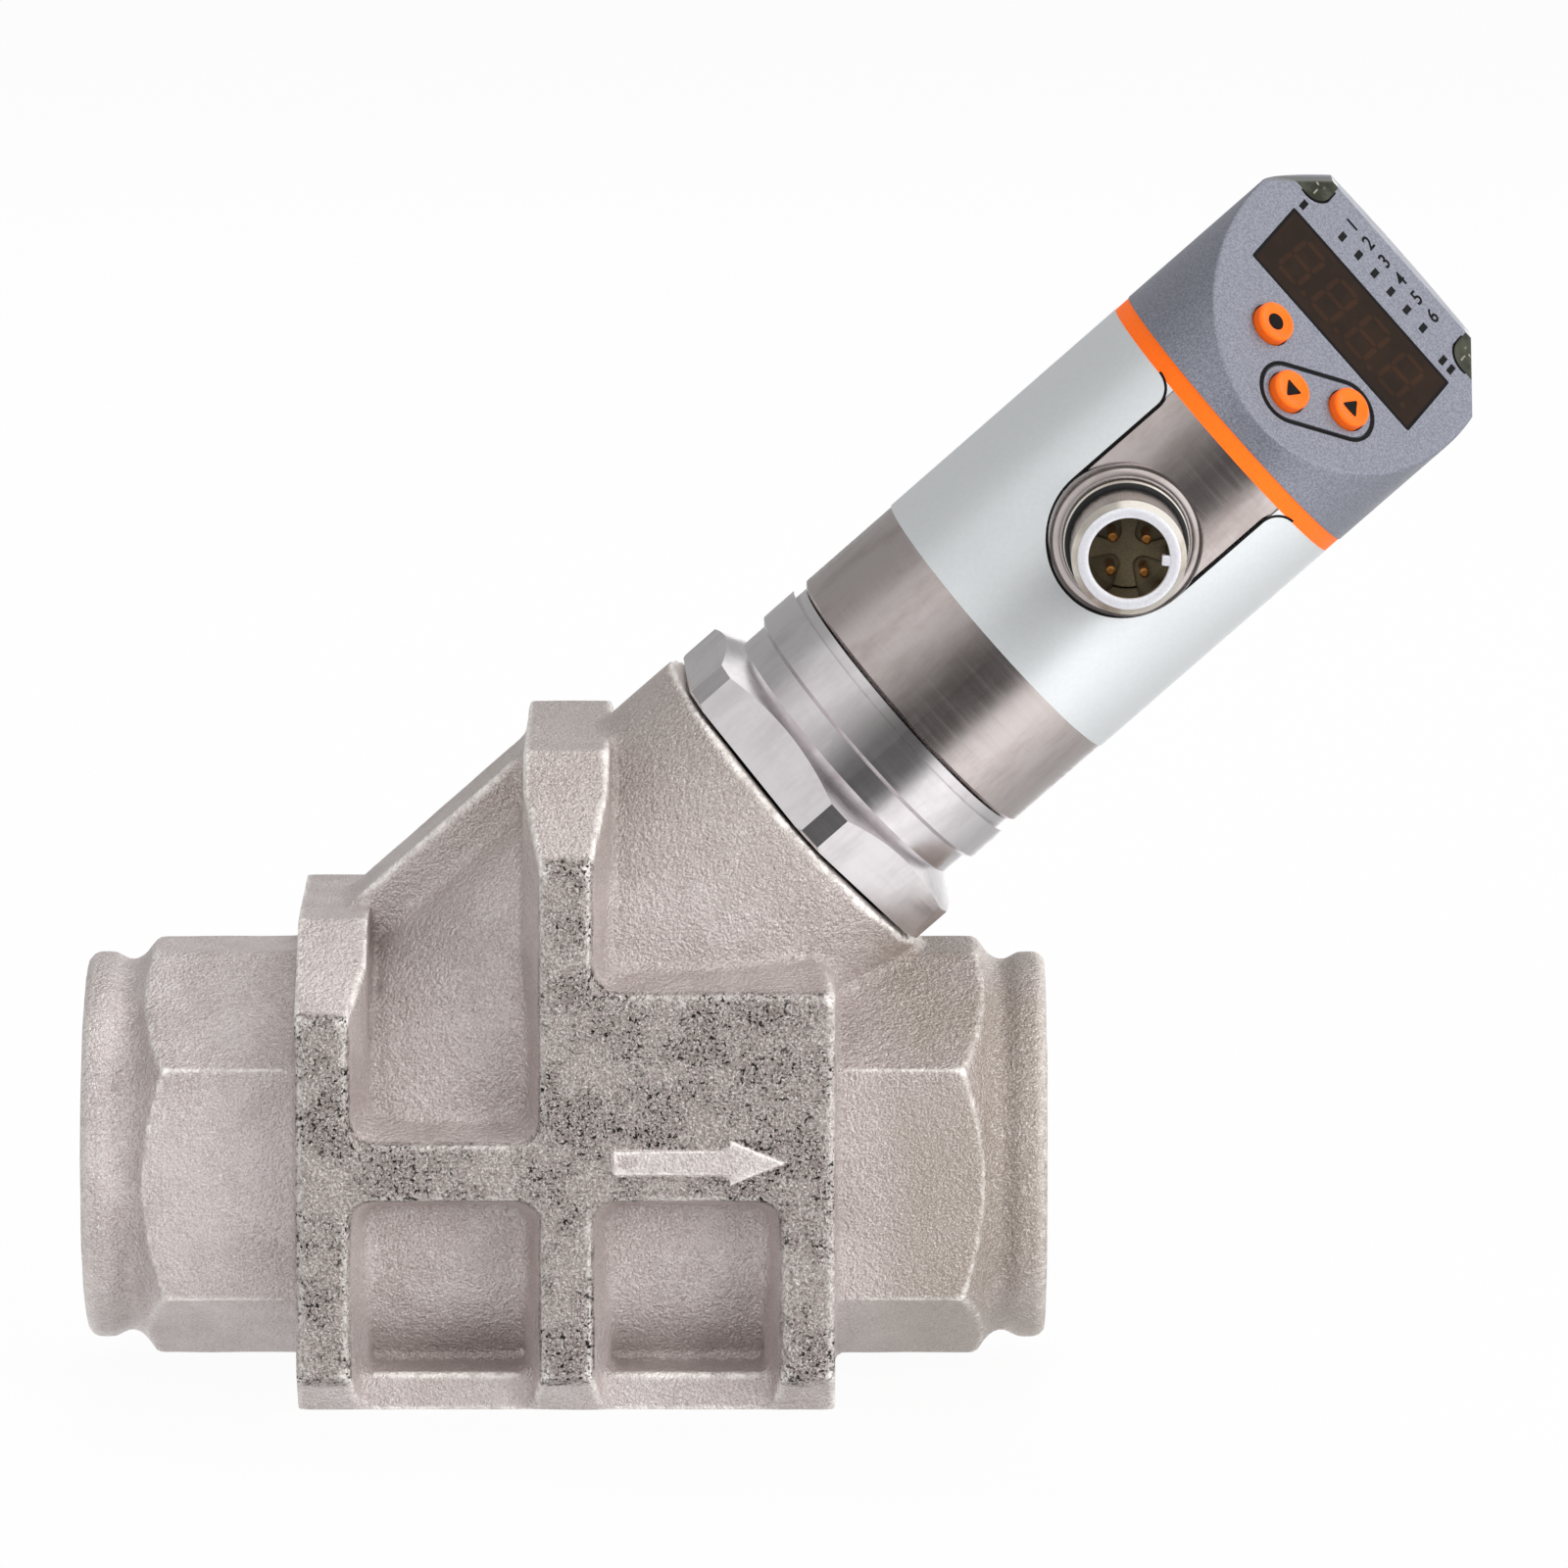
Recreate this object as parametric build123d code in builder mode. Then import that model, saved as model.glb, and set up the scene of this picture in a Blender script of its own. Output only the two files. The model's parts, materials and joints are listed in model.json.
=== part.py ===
from build123d import *
import math
import os

# Inline flow meter: a forged brass Y-body with a spring-loaded piston on its branch axis,
# and a turning sensor head with display, three buttons and a round plug connector.
# Millimetres. The origin is the centre of the inlet face, +X runs along the pipe to the
# outlet, +Z is up and the display faces -Y.

# Pipe run
body_length = 102.0
barrel_r = 19.9
barrel_drop = 6.0
base_z = -24.3
bore_r = 12.0
inlet_bore_end = 23.5
outlet_bore_end = 48.0
drill_point = 5.0

# Pipe threads, drawn as plain bores of the thread's minor diameter
thread_minor_r = 15.15
thread_depth = 18.0
thread_mouth_r = 16.9
thread_mouth_depth = 1.9

# Collars and wrench hubs at both ends
collar_r = 20.6
collar_chamfer = 0.8
collar_width = 2.4
groove_r = 19.7
groove_x = 4.8
groove_land = 0.4
hub_flats = 42.7
hub_height = 43.6
hub_cone_x = 6.1
hub_cone_r = 20.4
hub_cone_run = 2.9
hub_cone_rise = 4.4

# Cast frame of ribs, panel and pockets
frame_half_depth = 26.0
frame_x0 = 22.9
frame_x1 = 79.6
rib_left_x = 28.4
rib_mid_x0 = 48.7
rib_mid_x1 = 54.0
rib_right_x = 74.0
rib_left_top = 27.0
rib_mid_top = 45.5
cross_rib_z0 = -0.8
cross_rib_z1 = 5.1
panel_top = 21.2
pocket_corner_r = 2.3
pocket_draft = 1.9
pocket_depth = 7.4
panel_corner_r = 2.6
rib_left_lean_z = 18.3
rib_left_lean_depth = 13.0
rib_mid_lean_z = 34.5
rib_mid_lean_depth = 16.0
foot_half_depth = 21.4
foot_chamfer_z = -19.7
ledge_z = -20.2
web_half_depth = 6.0
web_reach = 23.8
edge_round = 0.8

# Raised flow arrow on the panel
arrow_x0 = 56.3
arrow_length = 18.0
arrow_head = 5.8
arrow_shaft_w = 2.6
arrow_head_w = 4.3
arrow_z = 3.4
arrow_rise = 0.5

# Branch and sensor axis
branch_angle = 41.5
branch_x = 33.2
branch_start = 2.0
branch_end = 56.4
seat_s = 2.0
seat_thickness = 4.0
seat_outer_r = 12.5
seat_bore_r = 9.0
inlet_well_depth = 16.0
well_corner = 3.0
chamber_run_out = 1.0
chamber_r = 15.0
adapter_thread_r = 15.45
lift_margin = 2.0
ring_pocket_r = 16.4
ring_pocket_depth = 2.2

# Piston, its guide and return spring
piston_lift = 10.0
piston_disc_r = 11.6
piston_disc_s = 7.0
piston_disc_t = 3.0
piston_skirt_r = 8.5
piston_top_s = 32.0
piston_bore_s = 14.0
piston_nose_r = 8.2
piston_nose_length = 8.0
piston_tip_r = 3.7
piston_nose_land = 1.0
piston_edge = 0.5
seal_stand = 0.2
seal_inner_r = 8.6
seal_outer_r = 11.2
seal_thickness = 1.3
magnet_inner_r = 5.2
magnet_outer_r = 7.3
magnet_height = 4.0
probe_r = 4.0
probe_wall = 0.7
probe_floor = 1.2
probe_round = 0.6
probe_end_s = 25.0
probe_top_s = 74.0
guide_clearance = 0.07
rest_gap = 0.1
spring_mean_r = 10.2
spring_wire_r = 0.6
spring_turns = 6.5
probe_board_w = 6.5
probe_board_t = 0.8
probe_board_end_s = 78.0
cell_count = 5
cell_step = 6.0
cell_w = 2.6
cell_length = 3.0
cell_t = 1.0

# Hexagon adapter
hex_s = 56.8
hex_flats = 36.0
hex_corner_r = 20.1
hex_side = 4.5
hex_cone_rise = 2.2
hex_turn = 4.0
neck_r = 16.1
flange_r = 16.9
flange_s0 = 66.4
flange_s1 = 71.1
flange_chamfer = 0.45
ring_groove_r = 16.2
adapter_top_s = 72.2
swivel_r = 12.0
swivel_top_s = 80.5
wire_well_r = 8.5
wire_well_s = 68.0
adapter_ring_wire_r = 1.2
ring_side_gap = 0.2
thread_chamfer = 0.8
hex_edge = 0.3

# Turning joint between adapter and sensor sleeve
sleeve_s0 = 72.5
swivel_clearance = 0.07
bush_length = 5.5
bush_edge = 0.3
clip_gap = 0.3
clip_thickness = 1.0
clip_outer_r = 13.4
clip_mouth = 4.8
clip_groove_r = 11.2
clip_lug_r = 1.5
clip_lug_hole_r = 0.75
clip_lug_turn = 18.0
swivel_ring_s = 75.2
swivel_ring_wire_r = 0.9

# Sensor sleeve and its foil
sleeve_r = 16.8
sleeve_wall = 1.3
sleeve_s1 = 116.5
foil_s0 = 84.9
foil_thickness = 0.15
foil_window_w = 16.8
boss_r = 8.0
boss_face = 17.0

# Round four-pin plug connector
plug_s = 102.5
plug_collar_r = 6.6
plug_collar_t = 1.5
plug_r = 6.0
plug_end = 29.0
plug_chamfer = 0.7
plug_bore_r = 4.2
plug_bore_depth = 8.0
plug_root_depth = 9.0
plug_lip = 0.8
plug_groove_depth = 0.5
plug_groove_w = 0.8
plug_mouth_chamfer = 0.2
key_setback = 0.3
key_width = 1.2
key_height = 0.85
pin_r = 0.5
pin_circle_r = 2.475
pin_recess = 2.0
pin_chamfer = 0.2
socket_ring_wire_r = 0.5

# Seal ring and display head
seal_ring_r = 16.9
head_s0 = 118.4
head_r = 17.0
head_top_s = 142.4
head_wall = 2.2
head_spigot_r = 15.4
head_spigot_s = 110.0
spigot_chamfer = 0.4
face_low_s = 121.1
face_tilt = 48.5
corner_cut_u = 11.2
corner_cut_s = 138.2
corner_cut_inset = 1.2
head_edge_round = 0.5

# Display face, measured up the slope from its lowest point
screen_v = 20.45
screen_w = 25.0
screen_h = 9.5
screen_corner_r = 0.3
screen_t = 1.6
part_gap = 0.05
unit_v = 27.7
unit_pitch = 2.6
unit_count = 6
unit_w = 0.75
unit_h = 1.25
lamp_u = 10.3
lamp_v = 28.0
lamp_corner_r = 2.2
lamp_depth = 2.6
button_v_high = 10.95
button_v_low = 6.1
button_u = 6.05
button_r = 2.25
button_gap = 0.15
button_rise = 1.15
button_dish = 0.35
button_flange_r = 3.0
button_flange_t = 0.6
button_flange_gap = 0.15
button_travel = 0.5
button_round = 0.4
button_stem_r = 1.0
capsule_r = 3.35
capsule_line = 0.3
capsule_depth = 0.25

# Electronics behind the face and in the sleeve
face_board_drop = 6.4
face_board_t = 1.6
face_board_h = 28.0
face_board_v = 17.5
switch_height = 1.0
key_body_w = 3.4
key_body_h = 0.6
key_dome_r = 1.0
module_w = 24.0
module_h = 9.0
lamp_body_w = 1.2
lamp_body_h = 2.0
board_w = 25.0
board_t = 1.6
board_s0 = 82.0
board_s1 = 107.0
rail_half_depth = 3.0
rail_inner_r = 11.3
chip_size = 7.0
chip_pitch = 10.0
chip_edge_gap = 5.5
chip_t = 1.2
link_w = 6.0
link_t = 0.3
link_s0 = 92.0
link_s1 = 134.0

# Worked out from the values above
angle = math.radians(branch_angle)
axis_dir = Vector(math.cos(angle), 0, math.sin(angle))
cross_dir = Vector(math.sin(angle), 0, -math.cos(angle))
axis_foot = Vector(branch_x, 0, 0)
branch_axis = Axis(axis_foot, axis_dir)
across = Plane(axis_foot, x_dir=(0, -1, 0), z_dir=axis_dir)
along = Plane(axis_foot, x_dir=(0, -1, 0), z_dir=-cross_dir)
side = Plane(axis_foot, x_dir=cross_dir, z_dir=(0, -1, 0))
plug_plane = Plane(axis_foot + axis_dir * plug_s, x_dir=cross_dir, z_dir=(0, -1, 0))
plug_axis = Axis(plug_plane.origin, plug_plane.z_dir)
seat_top = seat_s + seat_thickness
adapter_thread_s = piston_top_s + piston_lift + lift_margin
sleeve_bore_r = sleeve_r - sleeve_wall
foil_r = sleeve_r + foil_thickness
bush_s1 = sleeve_s0 + bush_length
clip_s0 = bush_s1 + clip_gap
tilt = math.radians(face_tilt)
face_up = axis_dir * math.cos(tilt) + Vector(0, math.sin(tilt), 0)
face_low = axis_foot + axis_dir * face_low_s + Vector(0, -head_r, 0)
face = Plane(face_low, x_dir=cross_dir, z_dir=cross_dir.cross(face_up))
button_places = {
    "enter": (-button_u, button_v_high),
    "down": (0.0, button_v_low),
    "up": (button_u, button_v_high),
}


def turned(points):
    # A body of revolution about the sensor axis, from (radius, distance along the axis) points
    with BuildPart(mode=Mode.PRIVATE) as body:
        with BuildSketch(along):
            with BuildLine():
                Polyline(*points, close=True)
            make_face()
        revolve(axis=branch_axis)
    return body.part


def save(piece, name):
    piece.part.label = name
    export_step(piece.part, f"parts/{name}.step")


os.makedirs("parts", exist_ok=True)


# Forged valve body
def pocket(x0, x1, z0, z1):
    # Drafted pocket cutter for both broad sides of the frame
    centre = ((x0 + x1) / 2, (z0 + z1) / 2)
    deep_w = x1 - x0 - 2 * pocket_draft
    deep_h = z1 - z0 - 2 * pocket_draft
    with BuildPart(mode=Mode.PRIVATE) as cutter:
        with BuildSketch(Plane.XZ.offset(frame_half_depth)) as mouth:
            with Locations(centre):
                RectangleRounded(x1 - x0, z1 - z0, pocket_corner_r)
        with BuildSketch(Plane.XZ.offset(frame_half_depth - pocket_depth)) as floor:
            with Locations(centre):
                RectangleRounded(deep_w, deep_h, pocket_corner_r)
        loft(sections=[floor.sketch, mouth.sketch])
        extrude(floor.sketch, amount=-(frame_half_depth - pocket_depth))
        mirror(about=Plane.XZ)
    return cutter.part


def shoulder(x0, x1, low_z, high_z, high_depth):
    # Wedge that takes the front corner off a rib between two heights, on both sides
    past = frame_half_depth + edge_round
    with BuildPart(mode=Mode.PRIVATE) as wedge:
        with BuildSketch(Plane.YZ.offset(x0)):
            with BuildLine():
                Polyline(
                    (frame_half_depth, low_z),
                    (high_depth, high_z),
                    (past, high_z),
                    (past, low_z),
                    close=True,
                )
            make_face()
        extrude(amount=x1 - x0)
        mirror(about=Plane.XZ)
    return wedge.part


past_top = 2 * rib_mid_top
inner_left = rib_left_x + pocket_draft
inner_mid0 = rib_mid_x0 - pocket_draft
inner_mid1 = rib_mid_x1 + pocket_draft
with BuildPart() as frame:
    with BuildSketch(Plane.XZ):
        with BuildLine():
            Polyline(
                (frame_x0, base_z),
                (frame_x1, base_z),
                (frame_x1, panel_top + pocket_draft),
                (inner_mid1, panel_top + pocket_draft),
                (inner_mid1, rib_mid_top),
                (inner_mid0, rib_mid_top),
                (inner_mid0, rib_left_top),
                (frame_x0, rib_left_top),
                close=True,
            )
        make_face()
    extrude(amount=frame_half_depth, both=True)
    add(pocket(rib_left_x, rib_mid_x0, 2 * base_z, cross_rib_z0), mode=Mode.SUBTRACT)
    add(pocket(rib_mid_x1, rib_right_x, 2 * base_z, cross_rib_z0), mode=Mode.SUBTRACT)
    add(pocket(rib_left_x, rib_mid_x0, cross_rib_z1, past_top), mode=Mode.SUBTRACT)
    add(pocket(rib_mid_x1, body_length, panel_top, past_top), mode=Mode.SUBTRACT)
    panel_corners = (
        frame.edges()
        .filter_by(Axis.Y)
        .filter_by(lambda e: e.center().X > frame_x1 - 0.1 and e.center().Z > 0)
    )
    fillet(panel_corners, radius=panel_corner_r)
    add(
        shoulder(frame_x0 - 1, inner_left, rib_left_lean_z, rib_left_top, rib_left_lean_depth),
        mode=Mode.SUBTRACT,
    )
    add(
        shoulder(inner_mid0, inner_mid1, rib_mid_lean_z, rib_mid_top, rib_mid_lean_depth),
        mode=Mode.SUBTRACT,
    )
    add(
        shoulder(frame_x0 - 1, frame_x1 + 1, foot_chamfer_z, base_z, foot_half_depth),
        mode=Mode.SUBTRACT,
    )

    front_edges = frame.edges().filter_by(
        lambda e: all(abs(abs(v.Y) - frame_half_depth) < 0.01 for v in e.vertices())
    )
    fillet(front_edges, radius=edge_round)


def hub(x_inner, x_face, facing):
    # One wrench hub with its coned end, groove and collar; facing is +1 on the inlet side
    def x(distance):
        return x_face + facing * distance

    with BuildPart(mode=Mode.PRIVATE) as prism:
        with BuildSketch(Plane.YZ.offset(x_inner)):
            RegularPolygon(hub_flats / 2, 6, major_radius=False, rotation=90)
            Rectangle(2 * hub_flats, hub_height, mode=Mode.INTERSECT)
        extrude(amount=x(groove_x) - x_inner)
        with BuildSketch(Plane.XZ):
            with BuildLine():
                Polyline(
                    (x(groove_x), 0),
                    (x(groove_x), groove_r),
                    (x(hub_cone_x), hub_cone_r),
                    (x(hub_cone_x + hub_cone_run), hub_cone_r + hub_cone_rise),
                    (x(hub_cone_x + hub_cone_run), hub_flats),
                    (x_inner, hub_flats),
                    (x_inner, 0),
                    close=True,
                )
            make_face()
        revolve(axis=Axis.X, mode=Mode.INTERSECT)
    return prism.part


def collar(x_face, facing):
    # End collar that falls into the smooth groove behind it
    def x(distance):
        return x_face + facing * distance

    with BuildPart(mode=Mode.PRIVATE) as ring:
        with BuildSketch(Plane.XZ):
            with BuildLine():
                Polyline(
                    (x(groove_x + groove_land), 0),
                    (x(0), 0),
                    (x(0), collar_r - collar_chamfer),
                    (x(collar_chamfer), collar_r),
                    (x(collar_width), collar_r),
                )
                Spline(
                    (x(collar_width), collar_r),
                    (x(groove_x), groove_r),
                    tangents=((facing, 0), (facing, 0)),
                )
                Polyline(
                    (x(groove_x), groove_r),
                    (x(groove_x + groove_land), groove_r),
                    (x(groove_x + groove_land), 0),
                )
            make_face()
        revolve(axis=Axis.X)
    return ring.part


def pipe_thread(x_face, facing):
    # Female pipe thread with its mouth chamfer, from an end face inwards
    with BuildPart(mode=Mode.PRIVATE) as cutter:
        with BuildSketch(Plane.XZ):
            with BuildLine():
                Polyline(
                    (x_face - facing * thread_mouth_depth, 0),
                    (x_face - facing * thread_mouth_depth, 2 * thread_mouth_r - thread_minor_r),
                    (x_face, thread_mouth_r),
                    (x_face + facing * thread_mouth_depth, thread_minor_r),
                    (x_face + facing * thread_depth, thread_minor_r),
                    (x_face + facing * (thread_depth + thread_minor_r - bore_r), bore_r),
                    (x_face + facing * (thread_depth + thread_minor_r - bore_r), 0),
                    close=True,
                )
            make_face()
        revolve(axis=Axis.X)
    return cutter.part


def passage(x_start, x_end):
    # Drilled water way with a blunt drill point, from x_start to its tip at x_end
    facing = 1 if x_end > x_start else -1
    with BuildPart(mode=Mode.PRIVATE) as cutter:
        with BuildSketch(Plane.XZ):
            with BuildLine():
                Polyline(
                    (x_start, 0),
                    (x_start, bore_r),
                    (x_end - facing * drill_point, bore_r),
                    (x_end, bore_r - drill_point),
                    (x_end, 0),
                    close=True,
                )
            make_face()
        revolve(axis=Axis.X)
    return cutter.part


with BuildPart() as valve_body:
    add(frame.part)
    # pipe barrel with flat flanks
    with BuildSketch(Plane.YZ.offset(frame_x0)):
        Circle(barrel_r)
        with Locations((0, -barrel_drop)):
            Circle(barrel_r)
        with Locations((0, -barrel_drop / 2)):
            Rectangle(2 * barrel_r, barrel_drop)
        with Locations((0, base_z + body_length / 2)):
            Rectangle(body_length, body_length, mode=Mode.INTERSECT)
    extrude(amount=frame_x1 - frame_x0)
    # branch barrel
    with BuildSketch(across.offset(branch_start)):
        Circle(barrel_r)
    extrude(amount=branch_end - branch_start)
    # foot ledge between the ribs
    with BuildSketch(Plane.XZ):
        with Locations(((frame_x0 + frame_x1) / 2, (base_z + ledge_z) / 2)):
            Rectangle(frame_x1 - frame_x0 - 2 * edge_round, ledge_z - base_z)
    extrude(amount=foot_half_depth, both=True)
    # sloped web that closes the upper pocket, parallel to the branch axis
    web_slope = math.tan(angle)
    web_lift = web_reach / math.cos(angle)
    web_x0 = (frame_x0 + rib_left_x) / 2
    web_x1 = (rib_mid_x0 + rib_mid_x1) / 2
    with BuildSketch(Plane.XZ):
        with BuildLine():
            Polyline(
                (web_x0, 0),
                (web_x0, rib_left_top - edge_round),
                (rib_left_x - edge_round, rib_left_top - edge_round),
                (rib_left_x - edge_round, (rib_left_x - edge_round - branch_x) * web_slope + web_lift),
                (rib_mid_x0, (rib_mid_x0 - branch_x) * web_slope + web_lift),
                (web_x1, rib_mid_top),
                (web_x1, 0),
                close=True,
            )
        make_face()
    extrude(amount=web_half_depth, both=True)
    add(hub(frame_x0 + 1, 0, 1))
    add(hub(frame_x1 - 1, body_length, -1))
    add(collar(0, 1))
    add(collar(body_length, -1))
    # flow arrow
    with BuildSketch(Plane.XZ.offset(frame_half_depth - arrow_rise)):
        with BuildLine():
            Polyline(
                (arrow_x0, arrow_z - arrow_shaft_w / 2),
                (arrow_x0 + arrow_length - arrow_head, arrow_z - arrow_shaft_w / 2),
                (arrow_x0 + arrow_length - arrow_head, arrow_z - arrow_head_w / 2),
                (arrow_x0 + arrow_length, arrow_z),
                (arrow_x0 + arrow_length - arrow_head, arrow_z + arrow_head_w / 2),
                (arrow_x0 + arrow_length - arrow_head, arrow_z + arrow_shaft_w / 2),
                (arrow_x0, arrow_z + arrow_shaft_w / 2),
                close=True,
            )
        make_face()
    extrude(amount=2 * arrow_rise)
    # threads and water ways
    add(pipe_thread(0, 1), mode=Mode.SUBTRACT)
    add(pipe_thread(body_length, -1), mode=Mode.SUBTRACT)
    add(passage(thread_depth, inlet_bore_end), mode=Mode.SUBTRACT)
    add(passage(body_length - thread_depth, outlet_bore_end), mode=Mode.SUBTRACT)
    add(
        turned(
            [
                (0, seat_s - inlet_well_depth),
                (seat_bore_r - well_corner, seat_s - inlet_well_depth),
                (seat_bore_r, seat_s - inlet_well_depth + well_corner),
                (seat_bore_r, seat_s),
                (seat_outer_r, seat_s),
                (seat_outer_r, seat_top),
                (chamber_r, seat_top),
                (chamber_r, adapter_thread_s - chamber_run_out),
                (adapter_thread_r, adapter_thread_s),
                (adapter_thread_r, branch_end - ring_pocket_depth),
                (ring_pocket_r, branch_end - ring_pocket_depth),
                (ring_pocket_r, branch_end + ring_pocket_depth),
                (0, branch_end + ring_pocket_depth),
            ]
        ),
        mode=Mode.SUBTRACT,
    )
save(valve_body, "valve_body")


# Pressed-in valve seat
with BuildPart() as seat_ring:
    seat_round = 0.6
    add(
        turned(
            [
                (seat_bore_r, seat_s + seat_round),
                (seat_bore_r + seat_round, seat_s),
                (seat_outer_r, seat_s),
                (seat_outer_r, seat_top),
                (seat_bore_r + seat_round, seat_top),
                (seat_bore_r, seat_top - seat_round),
            ]
        )
    )
save(seat_ring, "seat_ring")

# Piston with its flow cone, sealing disc and guide skirt
seal_s0 = seat_top + rest_gap
piston_bore_r = probe_r + guide_clearance
with BuildPart() as piston:
    add(
        turned(
            [
                (0, seal_s0 - piston_nose_length),
                (piston_tip_r, seal_s0 - piston_nose_length),
                (piston_nose_r, seal_s0 - piston_nose_land),
                (piston_nose_r, seal_s0),
                (seal_inner_r, seal_s0),
                (seal_inner_r, seal_s0 + seal_thickness),
                (seal_outer_r, seal_s0 + seal_thickness),
                (seal_outer_r, seal_s0 + seal_stand),
                (piston_disc_r, seal_s0 + seal_stand),
                (piston_disc_r, piston_disc_s + piston_disc_t),
                (piston_skirt_r, piston_disc_s + piston_disc_t),
                (piston_skirt_r, piston_top_s - piston_edge),
                (piston_skirt_r - piston_edge, piston_top_s),
                (magnet_outer_r, piston_top_s),
                (magnet_outer_r, piston_top_s - magnet_height),
                (piston_bore_r, piston_top_s - magnet_height),
                (piston_bore_r, piston_bore_s),
                (0, piston_bore_s),
            ]
        )
    )
save(piston, "piston")

with BuildPart() as piston_seal:
    add(
        turned(
            [
                (seal_inner_r, seal_s0),
                (seal_outer_r, seal_s0),
                (seal_outer_r, seal_s0 + seal_thickness),
                (seal_inner_r, seal_s0 + seal_thickness),
            ]
        )
    )
save(piston_seal, "piston_seal")

with BuildPart() as piston_magnet:
    magnet_round = 0.3
    add(
        turned(
            [
                (magnet_inner_r, piston_top_s - magnet_height),
                (magnet_outer_r, piston_top_s - magnet_height),
                (magnet_outer_r, piston_top_s - magnet_round),
                (magnet_outer_r - magnet_round, piston_top_s),
                (magnet_inner_r, piston_top_s),
            ]
        )
    )
save(piston_magnet, "piston_magnet")

# Return spring between the piston's disc and the adapter's spigot
spring_s0 = piston_disc_s + piston_disc_t + rest_gap
spring_length = adapter_thread_s - spring_s0 - 2 * spring_wire_r
spring_base = axis_foot + axis_dir * (spring_s0 + spring_wire_r)
with BuildPart() as return_spring:
    with BuildLine():
        coil = Helix(
            pitch=spring_length / spring_turns,
            height=spring_length,
            radius=spring_mean_r,
            center=spring_base,
            direction=axis_dir,
        )
    with BuildSketch(Plane(coil @ 0, z_dir=coil % 0)):
        Circle(spring_wire_r)
    sweep(path=coil, is_frenet=True)
save(return_spring, "return_spring")

# Hexagon adapter: spigot, hexagon, neck, flange and swivel spigot in one turned piece
hex_cone_s = hex_s + hex_side
adapter_ring_r = ring_pocket_r - ring_side_gap - adapter_ring_wire_r
with BuildPart() as hex_adapter:
    with BuildSketch(across.offset(hex_s)):
        RegularPolygon(hex_flats / 2, 6, major_radius=False, rotation=hex_turn)
    extrude(amount=hex_side + hex_cone_rise)
    add(
        turned(
            [
                (0, hex_s),
                (hex_corner_r - hex_edge, hex_s),
                (hex_corner_r, hex_s + hex_edge),
                (hex_corner_r, hex_cone_s),
                (neck_r, hex_cone_s + hex_cone_rise),
                (0, hex_cone_s + hex_cone_rise),
            ]
        ),
        mode=Mode.INTERSECT,
    )
    add(
        turned(
            [
                (0, adapter_thread_s),
                (adapter_thread_r - thread_chamfer, adapter_thread_s),
                (adapter_thread_r, adapter_thread_s + thread_chamfer),
                (adapter_thread_r, branch_end - ring_pocket_depth),
                (adapter_ring_r - adapter_ring_wire_r, branch_end - ring_pocket_depth),
                (adapter_ring_r - adapter_ring_wire_r, hex_s + hex_edge),
                (neck_r, hex_s + hex_edge),
                (neck_r, flange_s0),
                (flange_r - flange_chamfer, flange_s0),
                (flange_r, flange_s0 + flange_chamfer),
                (flange_r, flange_s1),
                (ring_groove_r, flange_s1),
                (ring_groove_r, adapter_top_s),
                (swivel_r, adapter_top_s),
                (swivel_r, swivel_ring_s - swivel_ring_wire_r),
                (swivel_r - 2 * swivel_ring_wire_r, swivel_ring_s - swivel_ring_wire_r),
                (swivel_r - 2 * swivel_ring_wire_r, swivel_ring_s + swivel_ring_wire_r),
                (swivel_r, swivel_ring_s + swivel_ring_wire_r),
                (swivel_r, clip_s0),
                (clip_groove_r, clip_s0),
                (clip_groove_r, clip_s0 + clip_thickness),
                (swivel_r, clip_s0 + clip_thickness),
                (swivel_r, swivel_top_s),
                (0, swivel_top_s),
            ]
        )
    )
    add(
        turned(
            [
                (0, adapter_thread_s - thread_chamfer),
                (probe_r, adapter_thread_s - thread_chamfer),
                (probe_r, wire_well_s),
                (wire_well_r, wire_well_s),
                (wire_well_r, swivel_top_s + thread_chamfer),
                (0, swivel_top_s + thread_chamfer),
            ]
        ),
        mode=Mode.SUBTRACT,
    )
save(hex_adapter, "hex_adapter")

# Pressure-tight probe tube, closed at its lower end, and the sensor board inside it
with BuildPart() as probe_tube:
    probe_bore_r = probe_r - probe_wall
    add(
        turned(
            [
                (0, probe_end_s),
                (probe_r - probe_round, probe_end_s),
                (probe_r, probe_end_s + probe_round),
                (probe_r, probe_top_s),
                (probe_bore_r, probe_top_s),
                (probe_bore_r, probe_end_s + probe_floor),
                (0, probe_end_s + probe_floor),
            ]
        )
    )
save(probe_tube, "probe_tube")

with BuildPart() as probe_board:
    probe_board_s = probe_end_s + probe_floor
    with BuildSketch(across.offset(probe_board_s)):
        Rectangle(probe_board_t, probe_board_w)
    extrude(amount=probe_board_end_s - probe_board_s)
    with BuildSketch(side.offset(probe_board_t / 2)):
        with Locations(*[(0, probe_board_s + cell_step * (i + 1)) for i in range(cell_count)]):
            Rectangle(cell_w, cell_length)
    extrude(amount=cell_t)
save(probe_board, "probe_board")


def o_ring(centre_r, centre_s, wire_r):
    # An O-ring about the sensor axis
    with BuildPart(mode=Mode.PRIVATE) as ring:
        with BuildSketch(along):
            with Locations((centre_r, centre_s)):
                Circle(wire_r)
        revolve(axis=branch_axis)
    return ring.part


with BuildPart() as adapter_o_ring:
    adapter_ring_s = branch_end - ring_pocket_depth + adapter_ring_wire_r
    add(o_ring(adapter_ring_r, adapter_ring_s, adapter_ring_wire_r))
save(adapter_o_ring, "adapter_o_ring")

with BuildPart() as swivel_o_ring:
    add(o_ring(swivel_r - swivel_ring_wire_r, swivel_ring_s, swivel_ring_wire_r))
save(swivel_o_ring, "swivel_o_ring")

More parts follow.
